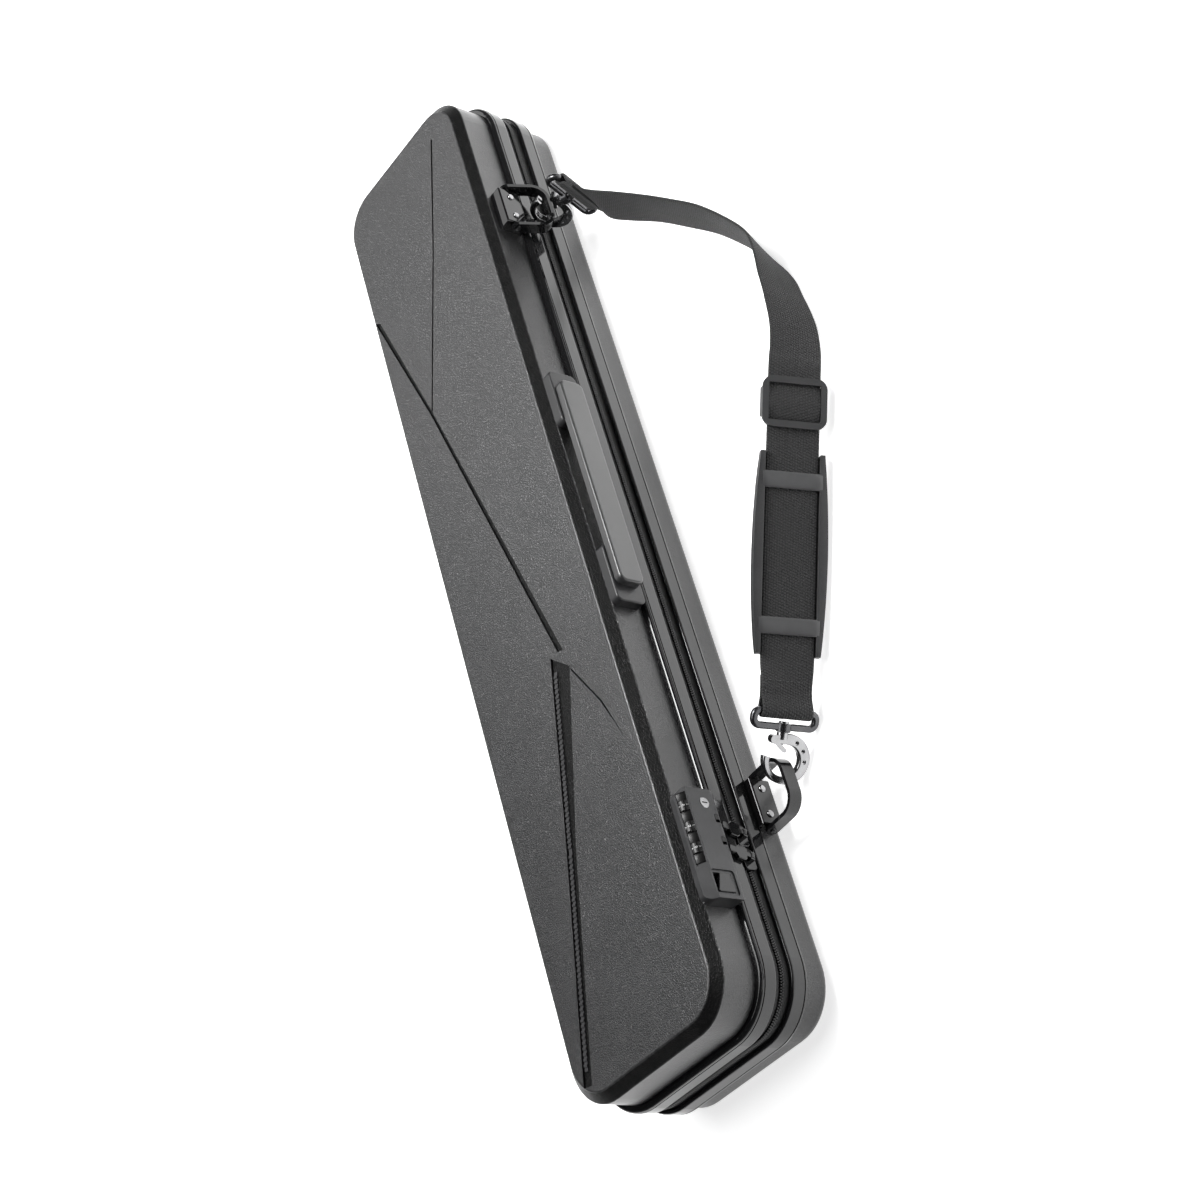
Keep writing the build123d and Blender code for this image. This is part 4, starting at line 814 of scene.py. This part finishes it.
toothLook = {"scale": 1500.0, "dark": (0.008, 0.008, 0.008), "light": (0.02, 0.02, 0.021),
             "worn": (0.05, 0.05, 0.05), "wear": 0.2, "rough": 0.32, "vary": 0.1, "wornRough": 0.1,
             "relief": 0.1, "depth": 0.00003}
toothPlastic = hardFinish("toothPlastic", fineTooth, toothLook)
for name, body, node, way, start in (("zipTeethBase", "base", "base_zip_coil", -1, 0.0),
                                     ("zipTeethLid", "lid", "lid_zip_coil", 1, zipShape["pitch"] / 2)):
    teeth = buildTeeth(zipShape, name, zipShape["level"] + way * zipShape["shift"], start)
    teeth.data.materials.append(toothPlastic)
    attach(teeth, body)
    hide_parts(node)
print("zip teeth made")

# lock: dark strips between the dials, and pale numbers on them

dialShape = {"axis": (-0.08948, 0.09114), "first": -0.275, "pitch": 0.016, "radius": 0.00502,
             "face": (-0.6, 0.8), "faceAt": (-0.092, 0.0945), "stripWidth": 0.0066, "stripThick": 0.0007,
             "depth": 0.0005,
             "strips": [(-0.2638, -0.2707), (-0.2793, -0.2867), (-0.2953, -0.3027), (-0.3113, -0.3182)],
             "stripEdge": 0.0002, "digit": 0.0029, "digitThick": 0.00004}
xLine = Vector((1, 0, 0))


def buildDialStrips(shape):
    strips = []
    out = Vector((0, *shape["face"]))
    up = out.cross(xLine)
    for low, high in shape["strips"]:
        bpy.ops.mesh.primitive_cube_add(size=1)
        strip = bpy.context.object
        strip.scale = (abs(high - low), shape["stripWidth"], shape["stripThick"])
        settle(strip, "strip")
        modify(strip, "BEVEL", width=shape["stripEdge"], segments=2)
        sunk = shape["depth"] + shape["stripThick"] / 2
        centre = Vector(((low + high) / 2, *shape["faceAt"])) - out * sunk
        strip.matrix_world = axesMatrix(xLine, up, out, centre)
        strips.append(settle(strip, "strip"))
    pick(*strips)
    bpy.ops.object.join()
    piece = settle(strips[0], "dialStrips")
    smooth(piece, 35)
    return piece


def buildNumbers(shape, index):
    digits = []
    centre = Vector((shape["first"] - index * shape["pitch"], *shape["axis"]))
    facing = Vector((0, *shape["face"]))
    lift = facing.cross(xLine)
    for digit in range(10):
        bpy.ops.object.text_add()
        text = bpy.context.object
        text.data.body = str(digit)
        text.data.align_x, text.data.align_y = "CENTER", "CENTER"
        text.data.size = shape["digit"]
        text.data.extrude = shape["digitThick"]
        pick(text)
        bpy.ops.object.convert(target="MESH")
        text = bpy.context.object
        angle = math.radians(360 / 10 * digit)
        out = facing * math.cos(angle) - lift * math.sin(angle)
        text.matrix_world = axesMatrix(xLine, out.cross(xLine), out, centre + out * shape["radius"])
        digits.append(settle(text, "digit"))
    pick(*digits)
    bpy.ops.object.join()
    return settle(digits[0], "dialNumbers" + str(index + 1))


paleInkLook = {"scale": 1800.0, "dark": (0.6, 0.6, 0.6), "light": (0.75, 0.75, 0.75),
               "worn": (0.4, 0.4, 0.4), "wear": 0.3, "rough": 0.5, "vary": 0.1, "wornRough": 0.1,
               "relief": 0.1, "depth": 0.00003}
paleInk = hardFinish("paleInk", fineTooth, paleInkLook)
dialStrips = buildDialStrips(dialShape)
dialStrips.data.materials.append(bpy.data.materials["dialPlastic"])
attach(dialStrips, "lid")
for index in range(3):
    numbers = buildNumbers(dialShape, index)
    numbers.data.materials.append(paleInk)
    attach(numbers, "dial_" + str(index + 1))
print("lock details made")

# floor, light and camera

stageLook = {"floor": 8.0, "level": -0.0002, "fibreScale": 60.0, "fibreDetail": 4.0,
             "low": (0.84, 0.84, 0.84), "high": (0.87, 0.87, 0.87), "rough": 0.9, "specular": 0.1,
             "glow": 0.72}
bpy.ops.mesh.primitive_plane_add(size=stageLook["floor"], location=(0, 0, stageLook["level"]))
floorPiece = settle(bpy.context.object, "studioFloor")
floorPaint, tree, shader, place = newMaterial("palePaper")
fibre = addNode(tree, "ShaderNodeTexNoise",
                {"Vector": place.outputs["Object"], "Scale": stageLook["fibreScale"],
                 "Detail": stageLook["fibreDetail"]})
tree.links.new(mixColour(tree, fibre.outputs[0], stageLook["low"], stageLook["high"]),
               shader.inputs["Base Color"])
shader.inputs["Roughness"].default_value = stageLook["rough"]
shader.inputs["Specular IOR Level"].default_value = stageLook["specular"]
# a little light of its own keeps the shadows pale, as on a white ground
shader.inputs["Emission Color"].default_value = (1, 1, 1, 1)
shader.inputs["Emission Strength"].default_value = stageLook["glow"]
floorPiece.data.materials.append(floorPaint)

lightPlan = {
    "overhead": {"at": (0.3, 0.1, 2.6), "to": (0, 0, 0), "size": (2.2, 1.6), "watts": 45},
    "backSheen": {"at": (2.6, 1.7, 2.0), "to": (0, 0, 0.05), "size": (2.0, 1.4), "watts": 13},
    "frontFill": {"at": (-0.9, -2.4, 0.7), "to": (-0.1, 0, 0.05), "size": (1.8, 0.5), "watts": 4},
    "sideFill": {"at": (0.9, -2.2, 0.7), "to": (0.1, -0.1, 0.03), "size": (1.8, 0.5), "watts": 4},
    "rimStreak": {"at": (0.55, -0.1, 1.42), "to": (0, -0.08, 0.06), "size": (0.8, 0.55), "watts": 24},
}
for name, plan in lightPlan.items():
    lamp = bpy.data.lights.new(name, "AREA")
    lamp.shape = "RECTANGLE"
    lamp.size, lamp.size_y = plan["size"]
    lamp.energy = plan["watts"]
    holder = bpy.data.objects.new(name, lamp)
    bpy.context.collection.objects.link(holder)
    holder.location = plan["at"]
    aim = Vector(plan["to"]) - Vector(plan["at"])
    holder.rotation_euler = aim.to_track_quat("-Z", "Y").to_euler()

# a dim room with a pale band low down, so that bright metal shows dark and light
roomLook = {"bandTop": 0.45, "dim": (0.1, 0.1, 0.105), "pale": (0.75, 0.76, 0.78), "strength": 0.35}
world = bpy.data.worlds.new("studioRoom")
bpy.context.scene.world = world
world.use_nodes = True
room = world.node_tree
direction = addNode(room, "ShaderNodeTexCoord").outputs["Generated"]
height = addNode(room, "ShaderNodeSeparateXYZ", {0: direction}).outputs[2]
band = addNode(room, "ShaderNodeMapRange", {"Value": height, 1: 0.0, 2: roomLook["bandTop"], 3: 1.0, 4: 0.0},
               interpolation_type="SMOOTHSTEP")
room.links.new(mixColour(room, band.outputs[0], roomLook["dim"], roomLook["pale"]),
               room.nodes["Background"].inputs[0])
room.nodes["Background"].inputs[1].default_value = roomLook["strength"]
bpy.context.scene.view_settings.view_transform = "Standard"

cameraPlan = {"lens": 70.3, "sensor": 36, "at": (-0.97567, -1.05605, 1.1003),
              "right": (-0.24745, -0.57577, -0.77927), "up": (0.8103, -0.56393, 0.15937),
              "ahead": (0.53121, 0.592, -0.60609)}
cameraData = bpy.data.cameras.new("photoCamera")
cameraData.lens = cameraPlan["lens"]
cameraData.sensor_width = cameraPlan["sensor"]
camera = bpy.data.objects.new("photoCamera", cameraData)
bpy.context.collection.objects.link(camera)
back = [-v for v in cameraPlan["ahead"]]
camera.matrix_world = axesMatrix(cameraPlan["right"], cameraPlan["up"], back, cameraPlan["at"])
bpy.context.scene.camera = camera
print("stage ready")
